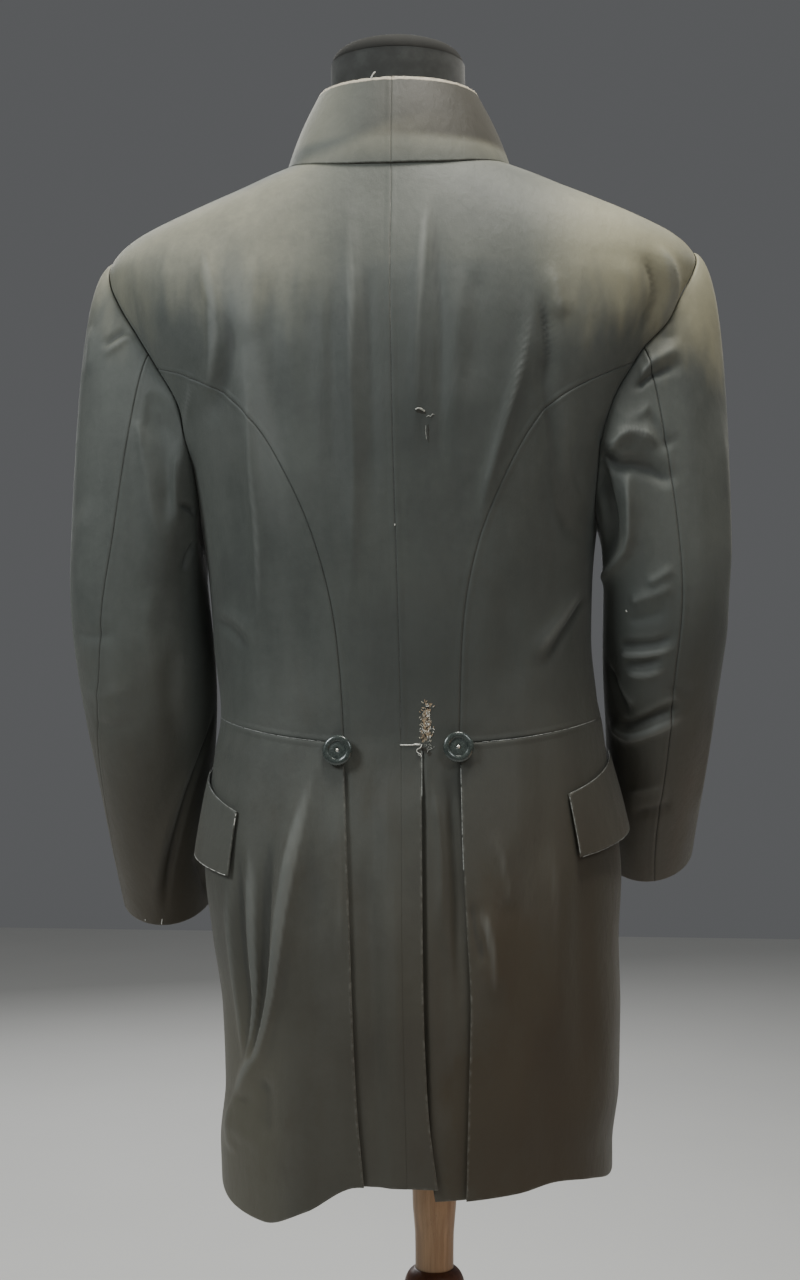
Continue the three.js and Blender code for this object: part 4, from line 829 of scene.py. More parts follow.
# Each kind of plain material is made from its rows: a light and a dark colour, then its own values.
woods = {
    "beech": ((0.47, 0.285, 0.145, 1), (0.27, 0.145, 0.066, 1), 0.42, 14.0),
    "stainedWood": ((0.19, 0.075, 0.038, 1), (0.09, 0.032, 0.018, 1), 0.36, 12.0),
}
jerseys = {
    "formCover": ((0.048, 0.050, 0.047, 1), (0.031, 0.032, 0.030, 1), 0.2),
    "capCover": ((0.038, 0.036, 0.032, 1), (0.027, 0.026, 0.023, 1), 0.04),
}
threadColours = {
    "paleThread": ((0.62, 0.58, 0.48, 1), (0.36, 0.31, 0.23, 1)),
    "tanThread": ((0.52, 0.38, 0.24, 1), (0.25, 0.17, 0.1, 1)),
    "whiteThread": ((0.80, 0.79, 0.74, 1), (0.55, 0.53, 0.47, 1)),
    "greyThread": ((0.36, 0.36, 0.32, 1), (0.19, 0.19, 0.17, 1)),
    "seamShade": ((0.060, 0.063, 0.058, 1), (0.036, 0.038, 0.035, 1)),
    "seamPale": ((0.150, 0.148, 0.124, 1), (0.100, 0.098, 0.084, 1)),
    "paleEdge": ((0.34, 0.35, 0.33, 1), (0.17, 0.175, 0.165, 1)),
}
woodPores = (0.05, 0.03, 0.02, 1)
capTopDark = (0.010, 0.010, 0.009, 1)
hornColours = ((0.052, 0.064, 0.057, 1), (0.030, 0.038, 0.034, 1))
floorColours = ((0.64, 0.64, 0.63, 1), (0.60, 0.60, 0.59, 1))
metalColour = (0.75, 0.72, 0.64, 1)


def makeWood(name, light, dark, roughness, stretch):
    material, tree, shader, place = newMaterial(name, {
        "Roughness": roughness, "Coat Weight": 0.15, "Coat Roughness": 0.3})
    grain = useGroup(tree, grainGroup, {"Vector": place["Object"], "Stretch": stretch})
    colour = mixColour(tree, mapRange(tree, grain["Figure"], 0.35, 0.8), light, dark)
    colour = mixColour(tree, times(tree, grain["Pores"], 0.4), colour, woodPores)
    rough = mapRange(tree, grain["Figure"], 0.3, 0.8, roughness - 0.08, roughness + 0.1)
    bump = bumpNode(tree, mathNode(tree, "SUBTRACT", grain["Figure"], grain["Pores"]), 0.25, 0.0003)
    setInputs(tree, shader, {"Base Color": colour, "Roughness": rough, "Normal": bump.outputs[0]})
    return material


def makeJersey(name, light, dark, sheen):
    material, tree, shader, place = newMaterial(name, {
        "Roughness": 0.85, "Sheen Weight": sheen, "Sheen Roughness": 0.5, "Specular IOR Level": 0.2})
    x, y, z = split(tree, place["Object"])
    around = mathNode(tree, "ARCTAN2", y, plus(tree, x, -0.028))
    wale = mathNode(tree, "SINE", times(tree, around, 330.0))
    course = mathNode(tree, "SINE", times(tree, z, 5200.0))
    dust = noise(tree, place["Object"], 60, 4, 0.6)
    colour = mixColour(tree, mapRange(tree, dust, 0.35, 0.7), dark, light)
    # The top of the neck cap is made darker.
    colour = mixColour(tree, mapRange(tree, z, 1.470, 1.478, 0, 0.8), colour, capTopDark)
    fuzz = noise(tree, place["Object"], 1500, 2, 0.6)
    bump = bumpNode(tree, timesPlus(tree, times(tree, wale, course), 0.5, fuzz), 0.3, 0.0003)
    setInputs(tree, shader, {"Base Color": colour, "Normal": bump.outputs[0]})
    return material


def makeHorn(name, light, dark):
    material, tree, shader, place = newMaterial(name, {
        "Roughness": 0.26, "Specular IOR Level": 0.6, "Coat Weight": 0.35, "Coat Roughness": 0.12})
    cloud = noise(tree, place["Object"], 260, 4, 0.6)
    colour = mixColour(tree, mapRange(tree, cloud, 0.35, 0.68), dark, light)
    scuff = noise(tree, place["Object"], 900, 3, 0.7)
    rough = mapRange(tree, scuff, 0.4, 0.75, 0.2, 0.44)
    bump = bumpNode(tree, scuff, 0.12, 0.0001)
    setInputs(tree, shader, {"Base Color": colour, "Roughness": rough, "Normal": bump.outputs[0]})
    return material


def makeThread(name, light, dark):
    material, tree, shader, place = newMaterial(name, {"Roughness": 0.8, "Sheen Weight": 0.3})
    spun = noise(tree, place["Object"], 700, 3)
    bump = bumpNode(tree, noise(tree, place["Object"], 3000), 0.3, 0.0001)
    setInputs(tree, shader, {"Base Color": mixColour(tree, mapRange(tree, spun, 0.35, 0.65), dark, light),
                             "Normal": bump.outputs[0]})
    return material


def makeFloor(name, light, dark):
    material, tree, shader, place = newMaterial(name, {"Roughness": 0.9, "Specular IOR Level": 0.1})
    colour = mixColour(tree, noise(tree, place["Object"], 3, 3), dark, light)
    setInputs(tree, shader, {"Base Color": colour})
    return material


def makeMetal(name, colour):
    return plainMaterial(name, {"Base Color": colour, "Metallic": 1.0, "Roughness": 0.28})[0]


materials = {"wool": makeWool(), "horn": makeHorn("horn", *hornColours),
             "paleFloor": makeFloor("paleFloor", *floorColours),
             "brightMetal": makeMetal("brightMetal", metalColour)}
for makeKind, rows in ((makeWood, woods), (makeJersey, jerseys), (makeThread, threadColours)):
    for name, look in rows.items():
        materials[name] = makeKind(name, *look)
print("materials made")


# What hangs from each piece, and the outer face of each cloth piece with its normals, in metres.
trims = {}
surfaces = {}


def addObject(name, data):
    piece = bpy.data.objects.new(name, data)
    bpy.context.scene.collection.objects.link(piece)
    return piece


# The same grid averaged over a patch, to tell crests from hollows.
def blurred(points, acrossStart, upStart):
    for axis, far in ((1, acrossStart), (0, upStart)):
        spacing = abs(far.max() - far.min()) / (points.shape[axis] - 1)
        steps = max(1, int(round(coatSizes["crestReach"] / spacing)))
        count = points.shape[axis]
        total = 0
        for shift in range(-steps, steps + 1):
            total = total + np.take(points, np.clip(np.arange(count) + shift, 0, count - 1), axis)
        edge = np.minimum(np.arange(count), np.arange(count)[::-1]) / steps
        edge = np.clip(edge, 0, 1).reshape((-1, 1, 1) if axis == 0 else (1, -1, 1))
        points = points + (total / (2 * steps + 1) - points) * edge
    return points


# What the edges do to a wall: how far its faces sink and swell, and how near seams and folds are.
# Seams dip into a groove and folded edges are rounded.
def finishEdges(edges, fromEdge, half):
    sink, swell = np.zeros((2, *fromEdge[0].shape))
    seam, fold = np.full((2, *fromEdge[0].shape), coatSizes["noEdge"])
    for kind, away in zip(edges, fromEdge):
        away = away + coatSizes["seamGap"] / 2
        if kind in ("seam", "flush"):
            dip = coatSizes["seamDip" if kind == "seam" else "flushDip"]
            sink = np.maximum(sink, dip * np.clip(1 - away / coatSizes["seamReach"], 0, 1) ** 2)
            seam = np.minimum(seam, away + (coatSizes["flushAway"] if kind == "flush" else 0))
        elif kind == "fold":
            near = np.clip(1 - away / half, 0, 1)
            rounding = coatSizes["creaseShare"] * half * (1 - np.sqrt(1 - near ** 2))
            sink, swell = np.maximum(sink, rounding), np.maximum(swell, rounding)
            fold = np.minimum(fold, away)
    return sink, swell, seam, fold


# The faces of a wall whose outer points come first: outside, inside, and round its rim.
def wallFaces(rows, columns, flipped):
    total = rows * columns
    index = np.arange(total).reshape(rows, columns)
    corners = [index[:-1, :-1], index[:-1, 1:], index[1:, 1:], index[1:, :-1]]
    front = np.stack(corners, -1).reshape(-1, 4)
    rim = np.concatenate([index[0, :-1], index[:-1, -1], index[-1, :0:-1], index[:0:-1, 0]])
    after = np.roll(rim, -1)
    sides = np.stack([rim, rim + total, after + total, after], -1)
    if flipped:
        return front[:, ::-1], front + total, sides[:, ::-1]
    return front, front[:, ::-1] + total, sides


# A cloth wall on a grid of points. edges names the finish of the left, right, bottom and top
# edge, inside marks where the left edge runs on into another part of the same cloth, and
# joinsRight measures the weave from the right edge, where the cloth runs on.
def clothPiece(name, node, points, facing, edges, thickness=coatSizes["clothWall"], inside=None,
               joinsRight=False):
    rows, columns = points.shape[:2]
    normals = gridNormals(points)
    if np.sum((normals * facing)[rows // 2]) < 0:
        normals = -normals
    acrossStart = distances(points, 1)
    upStart = distances(points, 0)
    fromEdge = [acrossStart, acrossStart[:, -1:] - acrossStart, upStart, upStart[-1:] - upStart]
    if inside is not None:
        fromEdge[0] = np.where(inside, coatSizes["noEdge"], fromEdge[0])
    if joinsRight:
        acrossStart = acrossStart - acrossStart[:, -1:]
    sink, swell, seam, fold = finishEdges(edges, fromEdge, thickness / 2)
    outer = points - normals * sink[..., None]
    surfaces[name] = (outer / 1000, normals)
    inner = points - normals * (thickness - swell)[..., None]
    middle, above = points[rows // 2], points[rows // 2 + 1]
    turned = np.cross(middle[1:] - middle[:-1], above[:-1] - middle[:-1])
    flipped = np.sum(turned * normals[rows // 2, :-1]) < 0
    outside, inward, sides = wallFaces(rows, columns, flipped)
    faces = np.concatenate([outside, inward, sides])
    places = np.concatenate([outer.reshape(-1, 3), inner.reshape(-1, 3)]) / 1000
    mesh = bpy.data.meshes.new(name)
    mesh.from_pydata(places.tolist(), [], faces.tolist())
    piece = addObject(name, mesh)
    weave = np.tile(np.stack([acrossStart, upStart], -1).reshape(-1, 2) / 1000, (2, 1))
    layer = mesh.uv_layers.new(name="cloth")
    corner = np.empty(len(mesh.loops), np.int32)
    mesh.loops.foreach_get("vertex_index", corner)
    layer.data.foreach_set("uv", weave[corner].astype(np.float32).ravel())
    crest = np.sum((points - blurred(points, acrossStart, upStart)) * normals, -1)
    for label, values in (("seamAway", seam), ("foldAway", fold), ("crest", crest)):
        attribute = mesh.attributes.new(label, "FLOAT", "POINT")
        both = np.tile(values.ravel() / 1000, 2)
        attribute.data.foreach_set("value", both.astype(np.float32))
    mesh.polygons.foreach_set("use_smooth", np.arange(len(faces)) < len(faces) - len(sides))
    corners = outer[:-1, :-1]
    cells = np.linalg.norm(np.cross(outer[1:, :-1] - corners, outer[:-1, 1:] - corners), axis=-1)
    print(name, "faces", len(mesh.polygons), "area", round(float(cells.sum()) / 1e6, 4))
    mesh.materials.append(materials["wool"])
    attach(piece, "root")
    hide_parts(node)
    return piece


# A piece that lies on the body, at its angles round it and its heights.
def sewPanel(name, side, angle, z, edges, lift=0.0, node=None, **finish):
    points = coatPoint(side, angle, z, lift)
    facing = sectionNormal(bodyTable, side, angle, z)
    return clothPiece(name + "_cloth", node or name, points, facing, edges, **finish)


sideOf = {"left": 1, "right": -1}

# Back: one piece from the neck to the tail's hem. The left tail laps over the right one.
backSizes = {
    "napeDrop": 104.0,
    "pleatUnderlap": 14.0,
    "hemDegrees": (-10, 18),
    "lapLift": 3.2,
    "lapFadeX": (24, 10),
    "lapFadeZ": (908, 862),
    "lapTuck": 1.6,
    "tuckSink": 0.16,
    "tuckFadeX": (-0.6, 0.2),
    "underFromZ": 880,
    "underSink": 2.6,
    "sinkFadeX": (20, 14),
    "sinkFadeZ": (917, 913.5),
    "columns": 56,
    "rows": 270,
    "lap": {"length": 335, "width": 16, "columns": 12, "rows": 120},
    "hemMiddle": 585.0,
}
napeTable = asTable("degrees drop", [(8, 104), (14, 84), (25, 62), (38, 38), (54, 17), (72, 5), (90, 0)])


# The left tail stands off the right one where it laps over it.
def lapRise(x, z):
    return backSizes["lapLift"] * ramp(*backSizes["lapFadeX"], x) * ramp(*backSizes["lapFadeZ"], z)


def makeBack(hand):
    side = sideOf[hand]
    pleat = "pleatLeft" if hand == "left" else "pleatRight"
    napeZ = neckPlace(0.0)[1]
    ventFrom, pleatFrom = (hemHeight(hand, np.radians(turn)) for turn in backSizes["hemDegrees"])
    edgeZ, seamTopZ = coatSizes["ventTopZ"], napeZ - backSizes["napeDrop"]
    height = napeZ - ventFrom
    tailShare, seamShare = (edgeZ - ventFrom) / height, (seamTopZ - ventFrom) / height

    def armDegrees(v):
        drop = np.clip((1 - v) * height, 0, backSizes["napeDrop"])
        return np.interp(-drop, -napeTable["drop"], napeTable["degrees"])

    def left(v):
        z = ventFrom + v * height
        if hand == "left":
            return pair(0 * z, z)
        return pair(read(tailTable, "underEdge", z) * ramp(edgeZ, backSizes["underFromZ"], z), z)

    def right(v):
        tail = np.clip(v / tailShare, 0, 1)
        tailZ = pleatFrom + (edgeZ - pleatFrom) * tail
        underlap = backSizes["pleatUnderlap"] * ramp(edgeZ + 1, edgeZ - 6, tailZ)
        tailX = read(tailTable, pleat, tailZ) + underlap
        seamX, seamZ = sideSeam(side, np.clip((v - tailShare) / (seamShare - tailShare), 0, 1))
        armX, armZ, _ = armholePlace(side, armDegrees(v))
        x = np.where(v < tailShare, tailX, np.where(v < seamShare, seamX, armX))
        z = np.where(v < tailShare, tailZ, np.where(v < seamShare, seamZ, armZ))
        return pair(x, z)

    def bottom(u):
        start, end = left(np.zeros(1))[0, 0], right(np.zeros(1))[0, 0]
        x = start + (end - start) * u
        return pair(x, hemHeight(hand, angleAcross(side, x, backSizes["hemMiddle"])))

    def top(u):
        at = u * 9
        neckX, neckZ = neckPlace(np.clip(at / 4, 0, 1) * 90)
        z = shoulderHeight(np.clip((at - 4) / 5, 0, 1))
        onNeck = at <= 4
        return pair(np.where(onNeck, neckX, halfWidth(bodyTable, side, z)), np.where(onNeck, neckZ, z))

    up = stops(height, backSizes["rows"])[0][:, None]
    width = (right(up) - left(up))[:, 0, 0]
    across = stops(width, backSizes["columns"])
    places = fillEdges(left, right, bottom, top, across, up)
    x, z = places[..., 0], places[..., 1]
    angle = angleAcross(side, x, z)
    if hand == "left":
        lift = lapRise(x, z)
    else:
        lift = ramp(*backSizes["sinkFadeX"], x) * ramp(*backSizes["sinkFadeZ"], z)
        lift = -backSizes["underSink"] * lift
    inside = z[:, :1] < coatSizes["lapTopZ"] if hand == "left" else None
    sewPanel("back_" + hand, side, angle, z, ["flush", "seam", "fold", "seam"], lift, inside=inside)
    if hand == "left":
        trims["back_left"] = [makeLap()]


# The part of the left tail past the centre line, lapping over the right one.
def makeLap():
    up, across = shareGrid(backSizes["lap"])
    guess = hemHeight("left", 0.0) + (coatSizes["lapTopZ"] - hemHeight("left", 0.0)) * up
    lapEdge = read(tailTable, "lapEdge", guess)
    x = (lapEdge + backSizes["lapTuck"]) * across - lapEdge
    hem = hemHeight("left", angleAcross(1, x, backSizes["hemMiddle"]))
    z = hem + (coatSizes["lapTopZ"] - hem) * up
    angle = angleAcross(1, x, z)
    lift = lapRise(x, z) - backSizes["tuckSink"] * ramp(*backSizes["tuckFadeX"], x)
    return sewPanel("back_left_lap", 1, angle, z, ["fold", "none", "fold", "fold"], lift,
                    node="back_left", joinsRight=True)


# Side body, between the curved back seam and the underarm seam.
sideBodySizes = {"length": 250, "width": 150, "columns": 44, "rows": 110}
waistShares = [0, 0.12, 0.28, 0.46, 0.64, 0.82, 1]
armUnder = [8, -10, -28, -46, -64, -82, -102]


def makeSideBody(hand):
    side = sideOf[hand]
    _, lastZ, lastAngle = armholePlace(side, armUnder[-1])
    _, bottomZ = underarmWaist(side)
    shares = np.linspace(0, 1, len(waistShares))

    def left(v):
        x, z = sideSeam(side, v)
        return pair(angleAcross(side, x, z), z)

    def right(v):
        z = bottomZ + (lastZ - bottomZ) * v
        angle = underarmAngle(side, z)
        return pair(angle + (lastAngle - angle) * ramp(*coatSizes["underarmTurn"], v), z)

    startAngle, endAngle = left(0.0)[..., 0], right(0.0)[..., 0]

    def bottom(u):
        angle = startAngle + (endAngle - startAngle) * np.interp(u, shares, waistShares)
        return pair(angle, waistHeight(angle))

    def top(u):
        _, z, angle = armholePlace(side, np.interp(u, shares, armUnder))
        return pair(angle, z)

    up, across = shareGrid(sideBodySizes)
    places = fillEdges(left, right, bottom, top, across, up)
    angle, z = places[..., 0], places[..., 1]
    sewPanel("side_body_" + hand, side, angle, z, ["seam"] * 4)


# Forepart, from the waist seam to the neck and shoulder, left over right.
forepartSizes = {
    "lap": {"left": 18.0, "right": 6.0},
    "lapLift": 3.2,
    "lapFadeX": (34, 22),
    "lowRows": 12,
    "lowStep": 14.4,
    "highStep": 27,
    "columns": 60,
    "rows": 150,
}
armFront = [-102, -123, -145, -164, -182, -200, -218, -236, -253, -270]
neckDrops = [0, 5, 16, 34, 56, 80, 105, 130, 156, 182]


# The left forepart laps over the right one.
def frontLift(hand, x):
    if hand == "right":
        return 0 * x
    return forepartSizes["lapLift"] * ramp(*forepartSizes["lapFadeX"], x)


def acrossAt(side, angle, z):
    return np.abs(sectionPoint(bodyTable, side, angle, z)[..., 0]) * np.sign(np.sin(angle))


# Angles along the waist seam, from the front edge to the underarm seam.
def waistFront(hand, share):
    side = sideOf[hand]
    lap = forepartSizes["lap"][hand]
    underarm, _ = underarmWaist(side)
    widest = acrossAt(side, underarm, coatSizes["waistZ"])
    x = -lap + (widest + lap) * share
    return np.where(share >= 0.999, underarm, angleAcross(side, x, coatSizes["waistZ"], "front"))


def makeForepart(hand):
    side = sideOf[hand]
    lap = forepartSizes["lap"][hand]
    _, bottomZ = underarmWaist(side)
    _, lastZ, lastAngle = armholePlace(side, armFront[0])
    neckZ = neckPlace(180.0)[1]
    waistZ = coatSizes["waistZ"]
    lowRows, highRows = forepartSizes["lowRows"], len(armFront) - 1
    lengths = np.cumsum([0] + [forepartSizes["lowStep"]] * lowRows + [forepartSizes["highStep"]] * highRows)

    def row(v):
        return np.interp(v * lengths[-1], lengths, np.arange(len(lengths)))

    def left(v):
        fromTop = lowRows + highRows - row(v)
        upper = neckZ - np.interp(fromTop, np.arange(len(neckDrops)), neckDrops)
        lower = waistZ + (neckZ - neckDrops[-1] - waistZ) * row(v) / lowRows
        return pair(-lap, np.where(fromTop <= highRows, upper, lower))

    def right(v):
        share = np.clip(row(v) / lowRows, 0, 1)
        z = bottomZ + (lastZ - bottomZ) * share
        angle = underarmAngle(side, z)
        angle = angle + (lastAngle - angle) * ramp(*coatSizes["underarmTurn"], share)
        armX, armZ, _ = armholePlace(side, np.interp(row(v) - lowRows, np.arange(len(armFront)), armFront))
        under = row(v) <= lowRows
        return pair(np.where(under, acrossAt(side, angle, z), armX), np.where(under, z, armZ))

    def bottom(u):
        angle = waistFront(hand, u)
        z = waistHeight(angle)
        return pair(acrossAt(side, angle, z), z)

    def top(u):
        at = u * 10
        neckX, neckZs = neckPlace(180 - 90 * np.clip((at - 1) / 4, 0, 1))
        neckX = np.where(at < 1, -lap * (1 - at), neckX)
        z = shoulderHeight(np.clip((at - 5) / 5, 0, 1))
        return pair(np.where(at <= 5, neckX, halfWidth(bodyTable, side, z)), np.where(at <= 5, neckZs, z))

    up = stops(lengths[-1], forepartSizes["rows"])[0][:, None]
    width = (right(up) - left(up))[:, 0, 0]
    across = stops(width, forepartSizes["columns"])
    places = fillEdges(left, right, bottom, top, across, up)
    x, z = places[..., 0], places[..., 1]
    angle = angleAcross(side, x, z, "front")
    sewPanel("forepart_" + hand, side, angle, z, ["fold", "seam", "seam", "seam"], frontLift(hand, x))


# Skirt, from the side pleat round to the cut-away front edge.
skirtSizes = {
    "pleatLift": {"left": 3.4, "right": 4.6},
    "pleatFadeX": (112, 82),
    "pleatX": 45.0,
    "hemFrom": 12,
    "frontLowZ": 640.0,
    "length": 350,
    "width": 290,
    "columns": 84,
    "rows": 150,
}


def makeSkirt(hand):
    side = sideOf[hand]
    pleat = "pleatLeft" if hand == "left" else "pleatRight"
    waistZ = coatSizes["waistZ"]
    start = angleAcross(side, skirtSizes["pleatX"], waistZ)
    underarm, _ = underarmWaist(side)

    def top(u):
        at = u * 13
        back = start + (underarm - start) * np.interp(at, np.arange(7.0), waistShares)
        front = waistFront(hand, 1 - np.clip(at - 6, 0, 7) / 10)
        angle = np.where(at <= 6, back, front)
        return pair(angle, waistHeight(angle))

    hemStart, hemEnd = hemHeight(hand, np.radians(skirtSizes["hemFrom"])), skirtSizes["frontLowZ"]
    frontTop = top(np.array(1.0))[..., 1]

    def left(v):
        z = hemStart + (waistZ - hemStart) * v
        return pair(angleAcross(side, read(tailTable, pleat, z), z), z)

    def right(v):
        z = hemEnd + (frontTop - hemEnd) * v
        return pair(np.radians(read(frontEdgeTable, "angle", z)), z)

    low, far = left(np.array(0.0))[..., 0], right(np.array(0.0))[..., 0]

    def bottom(u):
        angle = low + (far - low) * u
        return pair(angle, hemHeight(hand, angle))

    up, across = shareGrid(skirtSizes)
    places = fillEdges(left, right, bottom, top, across, up)
    angle, z = places[..., 0], places[..., 1]
    x = sectionPoint(bodyTable, side, angle, z)[..., 0] * side
    lift = np.where(np.cos(angle) > 0, ramp(*skirtSizes["pleatFadeX"], x), 0)
    lift = skirtSizes["pleatLift"][hand] * lift
    sewPanel("skirt_" + hand, side, angle, z, ["fold", "fold", "fold", "seam"], lift)


# Sleeves: a head eased into the armhole, then a tube that bends forward at the elbow.
sleeveSizes = {
    "headPuff": 15.0,
    "backPuff": 7.0,
    "topPuff": 2.5,
    "innerPuff": -1.5,
    "topFrom": (20, 80),
    "topTo": (160, 100),
    "headPower": 1.25,
    "settle": (0, 0.05),
    "waves": {"away": 700, "size": 44, "height": 0.6},
    "soften": 0.06,
    "headShare": 0.5,
    "turnWidth": 0.9,
    "length": 520,
    "topWidth": 170,
    "underWidth": 130,
    "topSteps": 12,
    "underSteps": 9,
    "seams": {"left": (18, 214), "right": (6, 210)},
    "rows": 190,
    "topColumns": 100,
    "underColumns": 76,
}
sleeveStarts = asTable("degrees start", [
    (0, 14), (1, 25), (2, 38), (3, 54), (4, 72), (5, 90), (6, 107), (7, 124), (8, 142), (9, 160),
    (10, 178), (11, 196), (12, 215), (13, 237), (14, 258), (15, 278), (16, 296), (17, 314),
    (18, 332), (19, 350), (20, 368), (21, 374),
])
# How far the back seam has turned outwards, in degrees, down the lower sleeve.
seamTurns = {
    "left": asTable("along turn", [(0.45, 0), (0.6, 10), (0.72, 26), (0.84, 38), (1, 44)]),
    "right": asTable("along turn", [(0, 12), (0.3, 12), (0.6, 3), (0.8, -2), (1, 4)]),
}
# Sleeve folds: x is the turn round the sleeve in millimetres, 0 behind and + outward.
sleeveFolds = {
    "left": [
        ([(16, 1176), (4, 1168), (-3, 1141), (-11, 1104), (-22, 1083), (-48, 1075)], 6.5, 2.6),
        ([(2, 1190), (-6, 1172), (-13, 1145), (-21, 1113), (-30, 1088)], 8, -3.6),
        ([(-19, 1164), (-24, 1132), (-30, 1108), (-36, 1088)], 5, 1.8),
        ([(2, 1202), (-10, 1178), (-30, 1140)], 7, -2.4),
        ([(-32, 1108), (-44, 1107), (-58, 1103)], 3, -2.8),
        ([(-42, 1054), (-49, 1071), (-62, 1083)], 3, -2.8),
        ([(48, 1239), (41, 1246), (34, 1254), (28, 1260)], 3, -2.2),
        ([(46, 1231), (38, 1239), (32, 1246), (24, 1244), (15, 1230)], 3.2, 2.2),
        ([(60, 1262), (56, 1240), (54, 1214)], 5, 1.6), ([(40, 1120), (46, 1070), (44, 1010)], 12, 1.8),
        ([(-20, 1050), (-14, 1000), (-20, 950)], 10, 1.6),
        ([(52, 1010), (34, 1004), (2, 1006)], 6, -1.4), ([(50, 962), (26, 956), (-6, 962)], 7, 1.4),
        ([(44, 934), (20, 928), (-10, 936)], 6, -1.3), ([(-36, 1000), (-28, 950), (-36, 905)], 8, -1.6),
        ([(-78, 948), (-66, 920), (-51, 895), (-39, 871), (-25, 831), (-14, 795),
          (-6, 757)], 3.2, -3.6),
        ([(-58, 920), (-42, 892), (-28, 862), (-15, 828), (-5, 795), (4, 760)], 8, 2.4),
        ([(-44, 818), (-54, 798), (-62, 776)], 4, -1.6),
        ([(-116, 1020), (-140, 1008), (-160, 1012)], 5, -3.0),
        ([(-112, 1000), (-136, 990), (-160, 992)], 5, 2.4),
        ([(-118, 978), (-138, 970), (-158, 974)], 4.5, -2.4),
        ([(150, 1020), (130, 1010), (108, 1014)], 5, -2.0),
        ([(100, 1180), (104, 1100), (110, 1030)], 12, 2.0),
        ([(120, 960), (112, 880), (116, 810)], 10, 1.8),
    ],
    "right": [
        ([(-2, 1203), (5, 1210), (15, 1217), (27, 1228), (35, 1238)], 4.5, 3.0),
        ([(-4, 1196), (3, 1203), (19, 1211), (33, 1221)], 3.4, -2.5),
        ([(10, 1250), (15, 1237), (17, 1225)], 3, 1.8), ([(24, 1262), (26, 1246), (30, 1236)], 4, -1.6),
        ([(-31, 1146), (-22, 1153), (-11, 1163), (0, 1160), (7, 1148)], 5.6, 4.8),
        ([(-40, 1152), (-31, 1146), (-20, 1138), (-7, 1138), (9, 1129), (18, 1120)], 5.6, -4.6),
        ([(-34, 1148), (-40, 1126), (-39, 1103), (-46, 1083), (-62, 1068)], 9, -6.5),
        ([(-12, 1136), (-17, 1124), (-20, 1102), (-26, 1076), (-42, 1060), (-66, 1051),
          (-84, 1046)], 5.5, 5.2), ([(8, 1188), (-4, 1176), (-14, 1170)], 5, 1.6),
        ([(2, 1186), (12, 1160), (20, 1150)], 5, -1.4),
        ([(-34, 1028), (-25, 1032), (-7, 1037), (6, 1045)], 5.5, 2.3),
        ([(-18, 1043), (-6, 1049), (8, 1058)], 4, 1.6),
        ([(-40, 1016), (-20, 1018), (2, 1024)], 5, -1.4),
        ([(-46, 999), (-34, 996), (-10, 997), (10, 1006)], 3.4, -2.5),
        ([(-44, 990), (-34, 988), (-10, 989), (14, 998)], 3.2, 2.0),
        ([(-42, 981), (-30, 980), (-18, 981), (0, 987)], 3, -2.2),
        ([(-40, 974), (-24, 972), (-12, 973), (6, 981)], 4, 2.2),
        ([(-68, 984), (-53, 968), (-42, 950), (-28, 935)], 4, -3.4),
        ([(-50, 974), (-38, 956), (-24, 945)], 4, 1.6), ([(-6, 962), (14, 960), (26, 952)], 5, -1.5),
        ([(-46, 933), (-34, 930), (-19, 934), (0, 942), (24, 953)], 3.8, -3.8),
        ([(-66, 936), (-50, 927), (-30, 921), (-4, 930), (28, 945)], 5.2, 4.2),
        ([(-32, 874), (-12, 878), (10, 884)], 6, 1.8), ([(-26, 856), (0, 860), (18, 867)], 5, -1.7),
        ([(56, 1190), (60, 1110), (58, 1030)], 10, 1.8),
        ([(76, 1160), (78, 1080), (76, 1000)], 9, -1.8), ([(52, 960), (58, 900), (54, 840)], 9, 1.4),
        ([(-112, 1024), (-136, 1012), (-158, 1018)], 5, -3.0),
        ([(-110, 1004), (-134, 994), (-160, 998)], 5, 2.4),
        ([(-116, 980), (-138, 974), (-156, 976)], 4.5, -2.4),
        ([(150, 1024), (128, 1014), (106, 1020)], 5, -2.2),
        ([(100, 1180), (106, 1100), (112, 1030)], 12, 2.0),
        ([(120, 960), (112, 890), (118, 830)], 10, 1.8),
    ],
}


# The middle of the sleeve's tube and its two half axes, at a share of its length.
def sleeveFrame(hand, share):
    table = sleeveTables[hand]
    side = sideOf[hand]
    step = share * sleeveSteps
    centre = np.stack([side * read(table, "x", step, "step"), read(table, "y", step, "step"),
                       read(table, "z", step, "step")], -1)
    ahead, behind = np.clip(step + 0.05, 0, sleeveSteps), np.clip(step - 0.05, 0, sleeveSteps)
    steps = [read(table, k, ahead, "step") - read(table, k, behind, "step") for k in "xyz"]
    down = unit(np.stack(steps, -1) * [side, 1, 1])
    over = np.array([side, 0.0, 0.0]) - down * down[..., :1] * side
    back = np.array([0.0, 1.0, 0.0]) - down * down[..., 1:2]
    return (centre, unit(over) * read(table, "across", step, "step")[..., None],
            unit(back) * read(table, "deep", step, "step")[..., None])


def tubePoint(frameAt, degrees):
    centre, over, back = frameAt
    turn = np.radians(degrees)[..., None]
    return hang(centre + over * np.sin(turn) + back * np.cos(turn))


